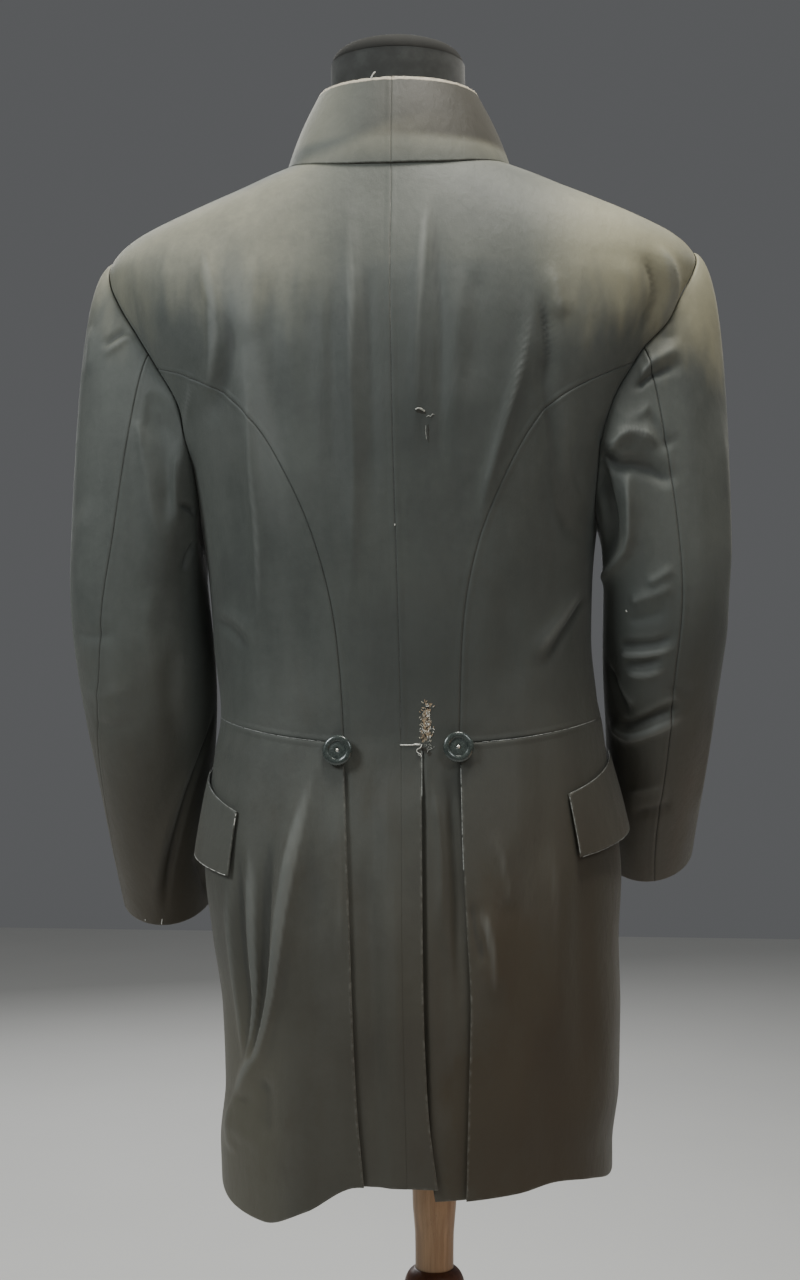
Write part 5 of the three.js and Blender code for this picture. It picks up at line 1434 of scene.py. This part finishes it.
# One ring grid round the whole sleeve, from the armhole (0) past its head to the cuff (1).
def sleeveRings(hand, along, around):
    side = sideOf[hand]
    behind, before = sleeveSizes["seams"][hand]
    behind = behind + read(seamTurns[hand], "turn", along, "along")
    start = np.interp(around, sleeveStarts["degrees"], sleeveStarts["start"])
    topSteps, underSteps = sleeveSizes["topSteps"], sleeveSizes["underSteps"]
    end = np.where(around <= topSteps, behind + (before - behind) * around / topSteps,
                   before + (behind + 360 - before) * (around - topSteps) / underSteps)
    _, z, angle = armholePlace(side, start)
    seam = coatPoint(side, angle, z)
    headEnd = sleeveSizes["headShare"]
    share = np.clip(along / headEnd, 0, 1) ** sleeveSizes["headPower"]
    tube = tubePoint(sleeveFrame(hand, np.zeros_like(along)), end)
    head = seam + (tube - seam) * share[..., None]
    swell = np.sin(np.pi * np.sqrt(share))
    outward = np.sin(np.radians(start + (end - start) * share))
    puff = np.where(outward > 0, sleeveSizes["headPuff"], sleeveSizes["innerPuff"])
    head[..., 0] += side * swell * puff * outward
    head[..., 1] += sleeveSizes["backPuff"] * swell * np.cos(np.radians(start))
    onTop = ramp(*sleeveSizes["topFrom"], start) * ramp(*sleeveSizes["topTo"], start)
    head[..., 2] += sleeveSizes["topPuff"] * swell * onTop
    lower = tubePoint(sleeveFrame(hand, np.clip((along - headEnd) / (1 - headEnd), 0, 1)), end)
    points = np.where((along <= headEnd)[..., None], head, lower)
    return points, (end + 180) % 360 - 180


# The same rings, eased along the sleeve so that no corner shows where the head meets the tube.
def sleeveGrid(hand, along, around):
    reach = sleeveSizes["soften"] * np.minimum(1, np.minimum(along / 0.15, (1 - along) / 0.12))
    total = sum(weight * sleeveRings(hand, np.clip(along + shift * reach, 0, 1), around)[0]
                for shift, weight in ((-1, 0.15), (-0.5, 0.22), (0, 0.26), (0.5, 0.22), (1, 0.15)))
    return total, sleeveRings(hand, along, around)[1]


def makeSleeve(hand):
    sizes = sleeveSizes
    along = stops(sizes["length"], sizes["rows"])[0]
    topAround = stops(sizes["topWidth"], sizes["topColumns"])[0] * sizes["topSteps"]
    underAround = stops(sizes["underWidth"], sizes["underColumns"])[0] * sizes["underSteps"]
    underAround = underAround + sizes["topSteps"]
    grids = np.meshgrid(along, np.concatenate([topAround, underAround]), indexing="ij")
    points, turn = sleeveGrid(hand, *grids)
    ring = np.concatenate([points[:, -2:], points, points[:, :2]], 1)
    normals = gridNormals(ring)[:, 2:-2]
    centre = points.mean(1, keepdims=True)
    if np.sum(normals * (points - centre)) < 0:
        normals = -normals
    x, z = turn * sizes["turnWidth"], points[..., 2]
    folds = foldRise(x, z, sleeveFolds[hand])
    waves = sizes["waves"]
    rise = folds * coatSizes["foldDepth"] + unevenness(x + waves["away"], z, waves["size"], waves["height"])
    points = points + normals * (rise * ramp(*sizes["settle"], grids[0]))[..., None]
    last = len(topAround)
    for part, own in (("top_sleeve_", slice(None, last)), ("under_sleeve_", slice(last, None))):
        clothPiece(part + hand + "_cloth", part + hand, points[:, own], normals[:, own],
                   ["seam", "seam", "flush", "fold"])


# Standing collar, joined at the centre back and open in front.
collarSizes = {
    "roll": 2.5,
    "stand": 2.4,
    "standFade": (150, 110),
    "footRise": 0.15,
    "upward": 0.25,
    "width": 230,
    "length": 72,
    "columns": 80,
    "rows": 26,
}
collarTable = asTable("turn half depth z", [
    (0, 66, 62, 1447), (90, 66, 62, 1448), (130, 68, 68, 1425), (180, 70, 71, 1385),
])


def makeCollar(hand):
    side = sideOf[hand]
    height, across = shareGrid(collarSizes)
    turn = across * 180
    x, z = neckPlace(turn)
    back = angleAcross(side, x, z)
    angle = np.where(turn > 90, np.pi - back, back)
    foot = coatPoint(side, angle, z, frontLift(hand, x) * (turn > 90))
    away = collarSizes["stand"] * ramp(*collarSizes["standFade"], turn)
    foot[..., 2] += collarSizes["footRise"] - away * 0.6
    turned = np.radians(turn)
    top = hang(np.stack([side * read(collarTable, "half", turn, "turn") * np.sin(turned),
                         read(collarTable, "depth", turn, "turn") * np.cos(turned),
                         read(collarTable, "z", turn, "turn")], -1))
    points = foot + (top - foot) * height[..., None]
    out = np.stack([side * np.sin(turned), np.cos(turned), 0 * turned], -1)
    points = points + out * (away * (1 - height) ** 2)[..., None]
    points = points + out * (collarSizes["roll"] * np.sin(np.pi * height))[..., None]
    clothPiece("collar_" + hand + "_cloth", "collar_" + hand, points,
               out + [0, 0, collarSizes["upward"]], ["flush", "fold", "fold", "fold"])


# Slanted pocket flap, standing off the skirt at its lower edge.
flapSizes = {
    "left": {"fromX": 131.0, "toAngle": 96, "top": (864, 897), "low": (814, 829)},
    "right": {"fromX": 126.0, "toAngle": 94, "top": (880, 909), "low": (831, 848)},
    "lift": {"top": 3.0, "lowBack": 5.0, "lowFront": 11.0},
    "lowTurn": 0.03,
    "width": 70,
    "length": 55,
    "columns": 46,
    "rows": 34,
}


def makeFlap(hand):
    side = sideOf[hand]
    flap = flapSizes[hand]
    lift = flapSizes["lift"]
    start = angleAcross(side, flap["fromX"], float(flap["top"][0]))
    end = np.radians(flap["toAngle"])
    up, over = shareGrid(flapSizes)
    low = flap["low"][0] + (flap["low"][1] - flap["low"][0]) * over
    high = flap["top"][0] + (flap["top"][1] - flap["top"][0]) * over
    z = low + (high - low) * up
    lowLift = lift["lowBack"] + (lift["lowFront"] - lift["lowBack"]) * over
    angle = start + flapSizes["lowTurn"] * (1 - up) + (end - start) * over
    away = lowLift + (lift["top"] - lowLift) * up
    sewPanel("pocket_flap_" + hand, side, angle, z, ["fold"] * 4, away, thickness=coatSizes["flapWall"])


for hand in sideOf:
    for makePart in (makeBack, makeSideBody, makeForepart, makeSkirt, makeSleeve, makeCollar, makeFlap):
        makePart(hand)
print("coat sewn")


# Loose threads, darning, frayed edges and pale strands painted as highlight on lit edges: thin tubes lying
# on the cloth.
# A run is (points, radius); a point is x and z on the back, then its lift off the cloth.
# An edge is (side of the piece, from, to, radius, seed, then lift, length and gap of a run).
threadSizes = {
    "sides": 5,
    "across": (0.31, 0.9, 0.28),
    "endShare": 0.55,
    "spotEvery": 0.003,
    "loopUp": 16.5,
    "darn": {"line": [(-21.5, 951, 4.5), (-18.5, 944, 4), (-18.5, 938, 4.2), (-20, 931, 5.2),
                      (-19.5, 924.5, 5.6)],
             "stitches": 110, "length": 2.0, "radius": 0.23},
    "darnFoot": {"line": [(-18.5, 921, 2.5), (-22, 917.5, 4.5), (-20, 912.5, 2.5)],
                 "stitches": 18, "length": 1.8, "radius": 0.2},
}
# The first run, a white strand along the lap's top edge, is a painted highlight where that edge catches
# light; the rest are frayed threads.
ventFrayAndHighlight = [
    ([(1, 920.2, 0.1), (-7, 920.0, 0.3), (-14.2, 920.3, 0.3)], 0.5),
    ([(-9, 924.2, 0.1), (-11.5, 925.8, 0.8), (-15.4, 927.4, 0.3)], 0.28),
    ([(-16.3, 920.8, 0.1), (-16.4, 918.6, 0.5), (-14.6, 916.8, 0.8), (-12.4, 915.6, 0.7),
      (-11.8, 913.8, 0.4)], 0.38),
    ([(-12.0, 913.5, 0.4), (-13.4, 912.6, 0.9), (-15.2, 912.0, 0.6)], 0.34),
    ([(-14.4, 912.6, 0.4), (-15.4, 910.9, 0.8), (-15.2, 909.8, 0.4)], 0.34),
    ([(-13.0, 911.6, 0.3), (-14.2, 910.8, 0.5)], 0.26),
]
shoulderTear = [
    ([(-18, 1174.6, -0.2), (-20.4, 1175.6, 0.5), (-23, 1175.2, 0.6), (-25.4, 1173.6, -0.2)], 0.7),
    ([(-26.6, 1169.4, -0.1), (-28.2, 1170.4, 0.3), (-29.6, 1169.8, 0.2), (-31.4, 1171.4, 0.3),
      (-33.2, 1171.3, -0.1)], 0.3),
    ([(-25.8, 1163, -0.1), (-25.5, 1158, 0.25), (-25.9, 1152.5, -0.1)], 0.26),
]
hemFray = [
    ([(-60, 577.4, 0.4), (-64, 576.6, 0.8), (-68, 577.2, 0.7), (-71.4, 576.9, 0.3)], 0.55),
    ([(-82, 579.4, 0.3), (-86, 580.2, 0.9), (-91.6, 578.6, 0.3)], 0.6),
    ([(-84, 578.4, 0.3), (-87, 577.6, 0.9), (-90, 578.8, 0.3)], 0.5),
]
looseEnds = [
    ([(-86.6, 577.4, 0.9), (-87.4, 574, 1.2), (-86.8, 570, 1.3), (-87.9, 567.4, 1.1)], 0.3),
    ([(23, 1088.6, 0.2), (22.8, 1087.2, 0.5)], 0.5),
]


# Rings of points round a line, smaller at its ends.
def threadRings(line, radius):
    way = unit(np.gradient(line, axis=0))
    across = unit(np.cross(way, threadSizes["across"]))
    over = np.cross(way, across)
    turn = np.arange(threadSizes["sides"])[:, None] * math.tau / threadSizes["sides"]
    reach = np.full(len(line), radius / 1000)
    reach[[0, -1]] *= threadSizes["endShare"]
    spokes = across[:, None] * np.cos(turn) + over[:, None] * np.sin(turn)
    return line[:, None] + reach[:, None, None] * spokes


# A closed tube along each run, whose points are by now places in metres.
def makeThreads(name, owner, material, runs):
    sides = threadSizes["sides"]
    places, faces = [], []
    for points, radius in runs:
        line = smoothPath(points, 2 + 3 * (len(points) - 1))
        first = len(places)
        places += [tuple(p) for p in threadRings(line, radius).reshape(-1, 3)]
        for k in range(len(line) - 1):
            a = first + k * sides
            faces += [(a + j, a + (j + 1) % sides, a + sides + (j + 1) % sides, a + sides + j)
                      for j in range(sides)]
        faces.append(tuple(first + j for j in reversed(range(sides))))
        faces.append(tuple(first + (len(line) - 1) * sides + j for j in range(sides)))
    mesh = bpy.data.meshes.new(name)
    mesh.from_pydata(places, [], faces)
    shape = bmesh.new()
    shape.from_mesh(mesh)
    bmesh.ops.recalc_face_normals(shape, faces=shape.faces)
    shape.to_mesh(mesh)
    shape.free()
    mesh.shade_smooth()
    piece = addObject(name, mesh)
    mesh.materials.append(materials[material])
    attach(piece, "root")
    trims.setdefault(owner, []).append(piece)


# Puts a run of the back or skirt on the finished cloth of its piece.
def onBack(owner, runs):
    cloth = bpy.data.objects[owner + "_cloth"]
    laid = []
    for points, radius in runs:
        places = []
        for x, z, lift in smoothPath(points, 2 + 2 * (len(points) - 1)):
            side = 1 if x > 0 else -1
            height = np.array(float(z))
            guess = coatPoint(side, angleAcross(side, np.array(abs(x)), height), height, 4.0) / 1000
            _, place, normal, _ = cloth.closest_point_on_mesh(Vector(guess))
            places.append(np.array(place + normal * (lift + radius * 0.4) / 1000))
        laid.append((places, radius))
    return laid


# Short stitches scattered along a line of (x, z, half width).
def scatter(sizes, seed):
    chance = np.random.RandomState(seed)
    line = smoothPath(sizes["line"], 60)
    runs = []
    for _ in range(sizes["stitches"]):
        x, z, half = line[chance.randint(60)]
        x += chance.uniform(-1, 1) * half
        z += chance.uniform(-2.5, 2.5)
        turn = chance.choice([0.5, 1.2, 1.9, 2.7]) + chance.uniform(-0.35, 0.35)
        reach = sizes["length"] * chance.uniform(0.5, 1.2) / 2
        dx, dz = np.cos(turn) * reach, np.sin(turn) * reach
        runs.append(([(x - dx, z - dz, -0.25), (x, z, 0.35), (x + dx, z + dz, -0.25)],
                     sizes["radius"] * chance.uniform(0.8, 1.35)))
    return runs


# Threads lying along part of a piece's edge, broken here and there: worn threads, pale strands that paint
# highlight on lit edges, and strands sunk in seams.
def edgeRuns(name, edge, start, end, radius, seed, lift=0.15, piece=6.0, gap=0.25):
    grid, normals = surfaces[name]
    pick = {"left": (slice(None), 0), "bottom": (0, slice(None)), "top": (-1, slice(None))}[edge]
    line, out = grid[pick], normals[pick]
    far = np.concatenate([[0], np.cumsum(np.linalg.norm(np.diff(line, axis=0), axis=1))])
    chance = np.random.RandomState(seed)
    at, last, runs = start * far[-1], end * far[-1], []
    while at < last:
        reach = min(last - at, piece / 1000 * chance.uniform(0.5, 2.2))
        spots = np.linspace(at, at + reach, max(3, int(reach / threadSizes["spotEvery"])))
        size = radius * chance.uniform(0.7, 1.25)
        places = []
        for spot in spots:
            place = np.array([np.interp(spot, far, line[:, k]) for k in range(3)])
            normal = np.array([np.interp(spot, far, out[:, k]) for k in range(3)])
            places.append(place + normal * (lift + chance.uniform(-0.3, 0.3) * size) / 1000)
        runs.append((places, size))
        at += reach + (piece * gap / 1000 if chance.uniform() < 0.5 else 0)
    return runs


# A thread end lying on the back of a sleeve.
def onSleeve(hand, x, z, way, radius):
    nearest = []
    for part in ("top_sleeve", "under_sleeve"):
        grid, normals = surfaces[part + "_" + hand + "_cloth"]
        away = np.hypot(grid[..., 0] - x, grid[..., 2] - z) + (normals[..., 1] < 0.1)
        at = np.unravel_index(np.argmin(away), away.shape)
        nearest.append((away[at], tuple(grid[at] + normals[at] * radius / 1500)))
    place = np.array(min(nearest)[1])
    return [place + np.array(way) / 1000 * step for step in (-0.5, 0, 0.5)], radius


# A loose thread that stands up from the collar's top edge.
def onCollar(steps, radius):
    rim = surfaces["collar_left_cloth"][0][-1]
    away = np.linalg.norm(rim - rim[0], axis=1) - threadSizes["loopUp"] / 1000
    foot = rim[np.argmin(np.abs(away))]
    return [foot + np.array(step) / 1000 for step in steps], radius


def edgeThreads(name, piece, material, *edges):
    runs = [run for edge in edges for run in edgeRuns(piece + "_cloth", *edge)]
    makeThreads(name, piece.replace("_lap", ""), material, runs)


darning = scatter(threadSizes["darn"], 5)
for name, piece, material, runs in (
        ("vent_fray", "back_left_lap", "whiteThread", ventFrayAndHighlight),
        ("darning_cream", "back_right", "paleThread", darning[::3]),
        ("darning_tan", "back_right", "tanThread", darning[1::3]),
        ("darning_white", "back_right", "whiteThread", darning[2::3]),
        ("darning_grey", "back_right", "greyThread", scatter(threadSizes["darnFoot"], 8)),
        ("shoulder_tear", "back_right", "greyThread", shoulderTear),
        ("hem_fray", "back_right", "tanThread", hemFray),
        ("loose_ends", "back_right", "whiteThread", looseEnds)):
    makeThreads(name, piece.replace("_lap", ""), material, onBack(piece, runs))
# Pale strands along the skirts' waist edges, the right pleat edge and the lap edge: painted highlight where
# these edges catch light, and partly worn cloth.
for name, piece, *edge in (
        ("waist_edge_left", "skirt_left", "top", 0.05, 0.40, 0.26, 21),
        ("waist_edge_right", "skirt_right", "top", 0.05, 0.40, 0.26, 22),
        ("pleat_edge_right", "skirt_right", "left", 0.72, 0.95, 0.3, 23),
        ("lap_edge_worn", "back_left_lap", "left", 0.88, 0.985, 0.34, 24)):
    edgeThreads(name, piece, "paleEdge", edge)
makeThreads("collar_thread", "collar_left", "whiteThread", [
    onCollar([(0.4, 0, -0.6), (-0.6, 0.4, 1.4), (-1.8, 0.7, 3.2), (-3.4, 0.9, 4.8)], 0.55)])
makeThreads("cuff_stitches", "top_sleeve_left", "whiteThread", [
    onSleeve("left", 0.2545, 0.757, (0, 0, 1.6), 0.45),
    onSleeve("left", 0.239, 0.758, (-0.9, 0, 7.5), 0.42)])
makeThreads("sleeve_lint", "under_sleeve_right", "whiteThread", [
    onSleeve("right", -0.156, 1.024, (0.7, 0, 1.8), 0.6)])
# Strands sunk in the seams, each in one run.
for name, piece, material, *edge in (
        *[(part + "_seam_" + hand, part + "_" + hand, "seamShade", "top", 0, 1, 0.55, 41, -0.55)
          for hand in sideOf for part in ("top_sleeve", "under_sleeve")],
        ("centre_seam", "back_left", "seamShade", "left", 0.42, 0.82, 0.4, 42, -0.36),
        ("centre_seam_top", "back_left", "seamPale", "left", 0.82, 1, 0.4, 43, -0.36),
        ("collar_seam", "collar_left", "seamPale", "left", 0, 0.97, 0.4, 44, -0.36)):
    edgeThreads(name, piece, material, (*edge, 500, 0))
edgeThreads("flap_edge_left", "pocket_flap_left", "whiteThread",
            ("bottom", 0.02, 0.8, 0.26, 25), ("left", 0.78, 0.97, 0.3, 26))
# Pale strands on the flap edges: painted highlight where the edges catch light, and partly worn cloth.
edgeThreads("flap_top_left", "pocket_flap_left", "paleEdge", ("top", 0.0, 0.6, 0.22, 30))
edgeThreads("flap_edge_right", "pocket_flap_right", "paleEdge",
            ("bottom", 0.02, 0.8, 0.18, 27), ("left", 0.05, 0.95, 0.2, 28), ("top", 0.0, 0.6, 0.18, 29))
for number, hand in enumerate(sideOf):
    edgeThreads("collar_lip_" + hand, "collar_" + hand, "paleThread",
                ("top", 0.0, 0.5, 0.8, 31 + number, -0.5, 9, 0.1),
                ("top", 0.0, 0.46, 0.5, 41 + number, 0.1, 5, 0.6))
print("threads laid")


# Rigid pieces: a primitive shaped in edit mode.
def startShape(sides, radius, low, high):
    bpy.ops.object.select_all(action="DESELECT")
    bpy.ops.mesh.primitive_cylinder_add(vertices=sides, radius=radius / 1000, depth=(high - low) / 1000,
                                        end_fill_type="NGON", location=(0, 0, (low + high) / 2000))
    bpy.ops.object.transform_apply(location=True, rotation=True, scale=True)
    bpy.ops.object.mode_set(mode="EDIT")
    bpy.ops.mesh.select_mode(type="FACE")
    return bpy.context.object


def pickFaces(piece, test):
    bpy.ops.mesh.select_all(action="DESELECT")
    mesh = bmesh.from_edit_mesh(piece.data)
    mesh.normal_update()
    for face in mesh.faces:
        if test(face.calc_center_median(), face.normal):
            face.select_set(True)
    bmesh.update_edit_mesh(piece.data)


def cutRings(heights):
    for height in heights:
        bpy.ops.mesh.select_all(action="SELECT")
        bpy.ops.mesh.bisect(plane_co=(0, 0, height / 1000), plane_no=(0, 0, 1))


# Steps the picked end face through (radius, height) pairs, each an inset and a move.
def stepEnd(profile, radius, height):
    for nextRadius, nextHeight in profile:
        if nextRadius < radius - 1e-6:
            bpy.ops.mesh.inset(thickness=(radius - nextRadius) / 1000, use_even_offset=False)
        else:
            bpy.ops.mesh.extrude_region_move()
        bpy.ops.transform.translate(value=(0, 0, (nextHeight - height) / 1000))
        radius, height = nextRadius, nextHeight


def movePoints(piece, places):
    mesh = bmesh.from_edit_mesh(piece.data)
    points = np.array([tuple(v.co) for v in mesh.verts]) * 1000
    for vertex, place in zip(mesh.verts, places(points) / 1000):
        vertex.co = place
    bmesh.update_edit_mesh(piece.data)


def finishShape(piece, name, nodes, material, angle=40):
    bpy.ops.object.mode_set(mode="OBJECT")
    bpy.ops.object.select_all(action="DESELECT")
    piece.select_set(True)
    bpy.context.view_layer.objects.active = piece
    bpy.ops.object.shade_smooth_by_angle(angle=math.radians(angle))
    piece.name = name
    if not piece.data.materials:
        piece.data.materials.append(materials[material])
    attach(piece, "root")
    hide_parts(*nodes)


# Coat button: a domed rim round a dished middle, with a metal pin.
buttonSizes = {
    "sides": 64,
    "radius": 11.8,
    "edge": (2.3, 3.5),
    "face": [(11.5, 4.05), (10.9, 4.5), (10.0, 4.82), (9.0, 4.95), (8.0, 4.8), (7.3, 4.45),
             (7.05, 3.9), (6.8, 3.62), (6.2, 3.6), (4.6, 3.85), (3.0, 3.95), (2.2, 3.85), (1.9, 3.3),
             (1.5, 3.2), (1.25, 3.3), (1.15, 3.9), (0.8, 4.15), (0.35, 4.25)],
    "rear": [(10.6, 1.75), (8.2, 1.5), (3.2, 1.35), (3.0, 0.7), (2.9, 0.1)],
    "pinRadius": 1.3,
    "pinFromZ": 3.1,
    "shank": 0.3,
    "back": {"left": (48.7, 914), "right": (43.6, 917)},
    "backLift": {"left": 3.4, "right": 4.6},
    "front": {"count": 5, "topZ": 1282, "pitch": 80, "lift": 3.2},
}


def makeButton():
    radius, (low, high) = buttonSizes["radius"], buttonSizes["edge"]
    piece = startShape(buttonSizes["sides"], radius, low, high)
    pickFaces(piece, lambda place, normal: normal.z > 0.9)
    stepEnd(buttonSizes["face"], radius, high)
    pickFaces(piece, lambda place, normal: normal.z < -0.9)
    stepEnd(buttonSizes["rear"], radius, low)
    piece.data.materials.append(materials["horn"])
    piece.data.materials.append(materials["brightMetal"])
    bpy.ops.object.mode_set(mode="OBJECT")
    for face in piece.data.polygons:
        middle = math.hypot(face.center.x, face.center.y) < buttonSizes["pinRadius"] / 1000
        if middle and face.center.z > buttonSizes["pinFromZ"] / 1000:
            face.material_index = 1
    return piece


def placeButton(pattern, name, side, angle, z, lift):
    piece = addObject(name, pattern.data.copy())
    angle, z = np.array([angle]), np.array([float(z)])
    place = coatPoint(side, angle, z, lift + buttonSizes["shank"])[0] / 1000
    normal = Vector(sectionNormal(bodyTable, side, angle, z)[0])
    turn = normal.to_track_quat("Z", "Y").to_matrix().to_4x4()
    piece.data.transform(Matrix.Translation(Vector(place)) @ turn)
    finishShape(piece, name + "_turned", [name], "horn", 30)


pattern = makeButton()
for hand in sideOf:
    x, z = buttonSizes["back"][hand]
    angle = float(angleAcross(sideOf[hand], np.array(x), np.array(float(z))))
    placeButton(pattern, "back_button_" + hand, sideOf[hand], angle, z, buttonSizes["backLift"][hand])
fronts = buttonSizes["front"]
for number in range(fronts["count"]):
    z = fronts["topZ"] - number * fronts["pitch"]
    placeButton(pattern, f"front_button_{number + 1}", 1, math.pi, z, fronts["lift"])
bpy.data.objects.remove(pattern)
print("buttons placed")


# Limbless dress form, its neck cap and the wooden stand.
formSizes = {
    "sides": 96,
    "rings": 120,
    "neckRadius": 54.5,
    "neckTopZ": 1474.3,
    "capEdge": 0.8,
    "cap": [(54.3, 1476.6), (53.4, 1479.2), (51.4, 1482.2), (47.6, 1485.2), (42.0, 1487.6), (34.5, 1489.4),
            (25.0, 1490.5), (14.0, 1491.0), (5.0, 1491.2)],
}


def makeForm():
    low, high = formTable["z"][0], formTable["z"][-1]
    piece = startShape(formSizes["sides"], 50, low, high)
    cutRings(np.linspace(low, high, formSizes["rings"] + 1)[1:-1])
    bpy.ops.mesh.select_all(action="DESELECT")

    def places(points):
        angle = np.arctan2(points[:, 0], points[:, 1])
        return hang(sectionPoint(formTable, 1, angle, points[:, 2]))

    movePoints(piece, places)
    finishShape(piece, "form_body", ["form_torso"], "formCover")


def makeCap():
    radius, low = formSizes["neckRadius"], formSizes["neckTopZ"]
    high = low + formSizes["capEdge"]
    piece = startShape(formSizes["sides"], radius, low, high)
    pickFaces(piece, lambda place, normal: normal.z > 0.9)
    stepEnd(formSizes["cap"], radius, high)
    movePoints(piece, hang)
    finishShape(piece, "neck_cap_domed", ["neck_cap"], "capCover")


standSizes = {
    "pole": asTable("z radius", [(0, 15.8), (492, 15.8), (508, 16.0), (521, 16.9), (535, 18.0), (560, 18.4),
                                 (639.7, 18.4)]),
    "hub": asTable("z radius", [(430, 24.2), (431.5, 25.4), (464, 25.4), (470, 24.7), (475, 23),
                                (479, 20.3), (482, 16.4)]),
    "leg": asTable("reach low high", [(26, 436, 461), (33, 426, 462), (44, 410, 455), (80, 357, 408),
                                      (140, 264, 315), (200, 168, 220), (260, 76, 127), (301, 12, 64),
                                      (318, 0.3, 37), (334.5, 0.3, 12)]),
    "poleRings": [2, 120, 240, 360, 440, *np.linspace(484, 566, 24), 600, 637.7],
    "poleEdge": 1.2,
    "hubRings": [431.5, 440, 455, *np.linspace(463, 481.3, 16)],
    "bore": 16.05,
    "legWidth": 23.6,
    "edge": 5.5,
    "sides": 64,
}
blankRadius = 10


def makePole():
    table = standSizes["pole"]
    low, high = table["z"][0], table["z"][-1]
    piece = startShape(standSizes["sides"], blankRadius, low, high)
    cutRings(standSizes["poleRings"])

    def places(points):
        radius = read(table, "radius", points[:, 2])
        radius -= standSizes["poleEdge"] * ((points[:, 2] < low + 1) | (points[:, 2] > high - 0.7))
        points[:, :2] *= (radius / blankRadius)[:, None]
        return points

    movePoints(piece, places)
    finishShape(piece, "pole_turned", ["pole"], "beech")


def makeHub():
    table = standSizes["hub"]
    low, high = table["z"][0], table["z"][-1]
    piece = startShape(standSizes["sides"], blankRadius, low, high)
    cutRings(standSizes["hubRings"])

    def places(points):
        points[:, :2] *= (read(table, "radius", points[:, 2]) / blankRadius)[:, None]
        return points

    movePoints(piece, places)
    for facing, row in ((1, -1), (-1, 0)):
        pickFaces(piece, lambda place, normal: normal.z * facing > 0.99 and abs(place.x) < 0.002)
        wall = (table["radius"][row] - standSizes["bore"]) / 1000
        bpy.ops.mesh.inset(thickness=wall, use_even_offset=False)
    pickFaces(piece, lambda place, normal: abs(normal.z) > 0.99 and math.hypot(place.x, place.y) < 0.002)
    bpy.ops.mesh.bridge_edge_loops()
    finishShape(piece, "hub_turned", ["stand_hub"], "stainedWood", 50)


def makeLeg(name, turn):
    table = standSizes["leg"]
    start, end = table["reach"][0], table["reach"][-1]
    bpy.ops.object.select_all(action="DESELECT")
    bpy.ops.mesh.primitive_cube_add(size=1, location=((start + end) / 2000, 0, 0.2),
                                    scale=((end - start) / 1000, standSizes["legWidth"] / 1000, 0.1))
    bpy.ops.object.transform_apply(location=True, rotation=True, scale=True)
    piece = bpy.context.object
    bpy.ops.object.mode_set(mode="EDIT")
    for reach in [*np.linspace(start, 60, 14)[1:], *np.linspace(60, end, 26)[1:-1]]:
        bpy.ops.mesh.select_all(action="SELECT")
        bpy.ops.mesh.bisect(plane_co=(reach / 1000, 0, 0), plane_no=(1, 0, 0))

    def places(points):
        upper = points[:, 2] > 200
        low, high = read(table, "low", points[:, 0], "reach"), read(table, "high", points[:, 0], "reach")
        points[:, 2] = np.where(upper, high, low)
        return points

    movePoints(piece, places)
    bpy.ops.object.mode_set(mode="OBJECT")
    bevel = piece.modifiers.new("bevel", "BEVEL")
    bevel.width, bevel.segments = standSizes["edge"] / 1000, 5
    bevel.limit_method, bevel.angle_limit = "ANGLE", math.radians(50)
    bpy.ops.object.modifier_apply(modifier=bevel.name)
    piece.data.transform(Matrix.Rotation(turn, 4, "Z"))
    finishShape(piece, "leg_" + name, ["stand_leg_" + name], "stainedWood")


makeForm()
makeCap()
makePole()
makeHub()
for number, name in enumerate(("front", "left", "right")):
    makeLeg(name, -math.pi / 2 + number * math.tau / 3)
print("form and stand made")

floorSizes = {"width": 9.0}
bpy.ops.object.select_all(action="DESELECT")
bpy.ops.mesh.primitive_plane_add(size=floorSizes["width"], location=(0, 0, -0.0005))
floor = bpy.context.object
floor.name = "floor"
floor.data.materials.append(materials["paleFloor"])


# Turns a camera or lamp to look from its place at another.
def aim(piece, place, target):
    piece.location = place
    piece.rotation_euler = (Vector(target) - Vector(place)).to_track_quat("-Z", "Y").to_euler()


cameraSizes = {"place": (-0.0978, 1.4445, 1.0), "looksAt": (0.0286, 0.0, 1.0), "lens": 49.22}
cameraData = bpy.data.cameras.new("camera")
cameraData.lens = cameraSizes["lens"]
cameraData.sensor_width = 36
camera = addObject("camera", cameraData)
aim(camera, cameraSizes["place"], cameraSizes["looksAt"])
bpy.context.scene.camera = camera

# Each lamp: its place, what it looks at, its size, its power and its colour.
lamps = {
    "topLight": ((-0.2, 0.22, 3.0), (0, 0.05, 1.2), 0.7, 68, (1, 0.98, 0.91)),
    "coolLight": ((1.6, 1.25, 2.3), (0, 0, 1.1), 0.7, 34, (0.92, 0.98, 1.0)),
    "warmSide": ((-1.7, 1.1, 0.35), (0, 0, 0.8), 0.9, 2.5, (1, 0.5, 0.2)),
    "fillRight": ((-1.0, 1.4, 2.1), (-0.1, 0, 1.3), 0.6, 9, (0.92, 0.98, 1.0)),
    "frontLight": ((1.0, -2.6, 2.2), (0, 0, 1.0), 2.0, 40, (1, 1, 1)),
}
for name, (place, target, size, power, colour) in lamps.items():
    data = bpy.data.lights.new(name, "AREA")
    data.size, data.energy, data.color = size, power, colour
    aim(addObject(name, data), place, target)

worldLight = {"colour": (0.8, 0.82, 0.85, 1), "strength": 0.13}
world = bpy.data.worlds.new("studio")
bpy.context.scene.world = world
world.use_nodes = True
background = world.node_tree.nodes["Background"]
setInputs(world.node_tree, background, {"Color": worldLight["colour"], "Strength": worldLight["strength"]})

print("stage set")
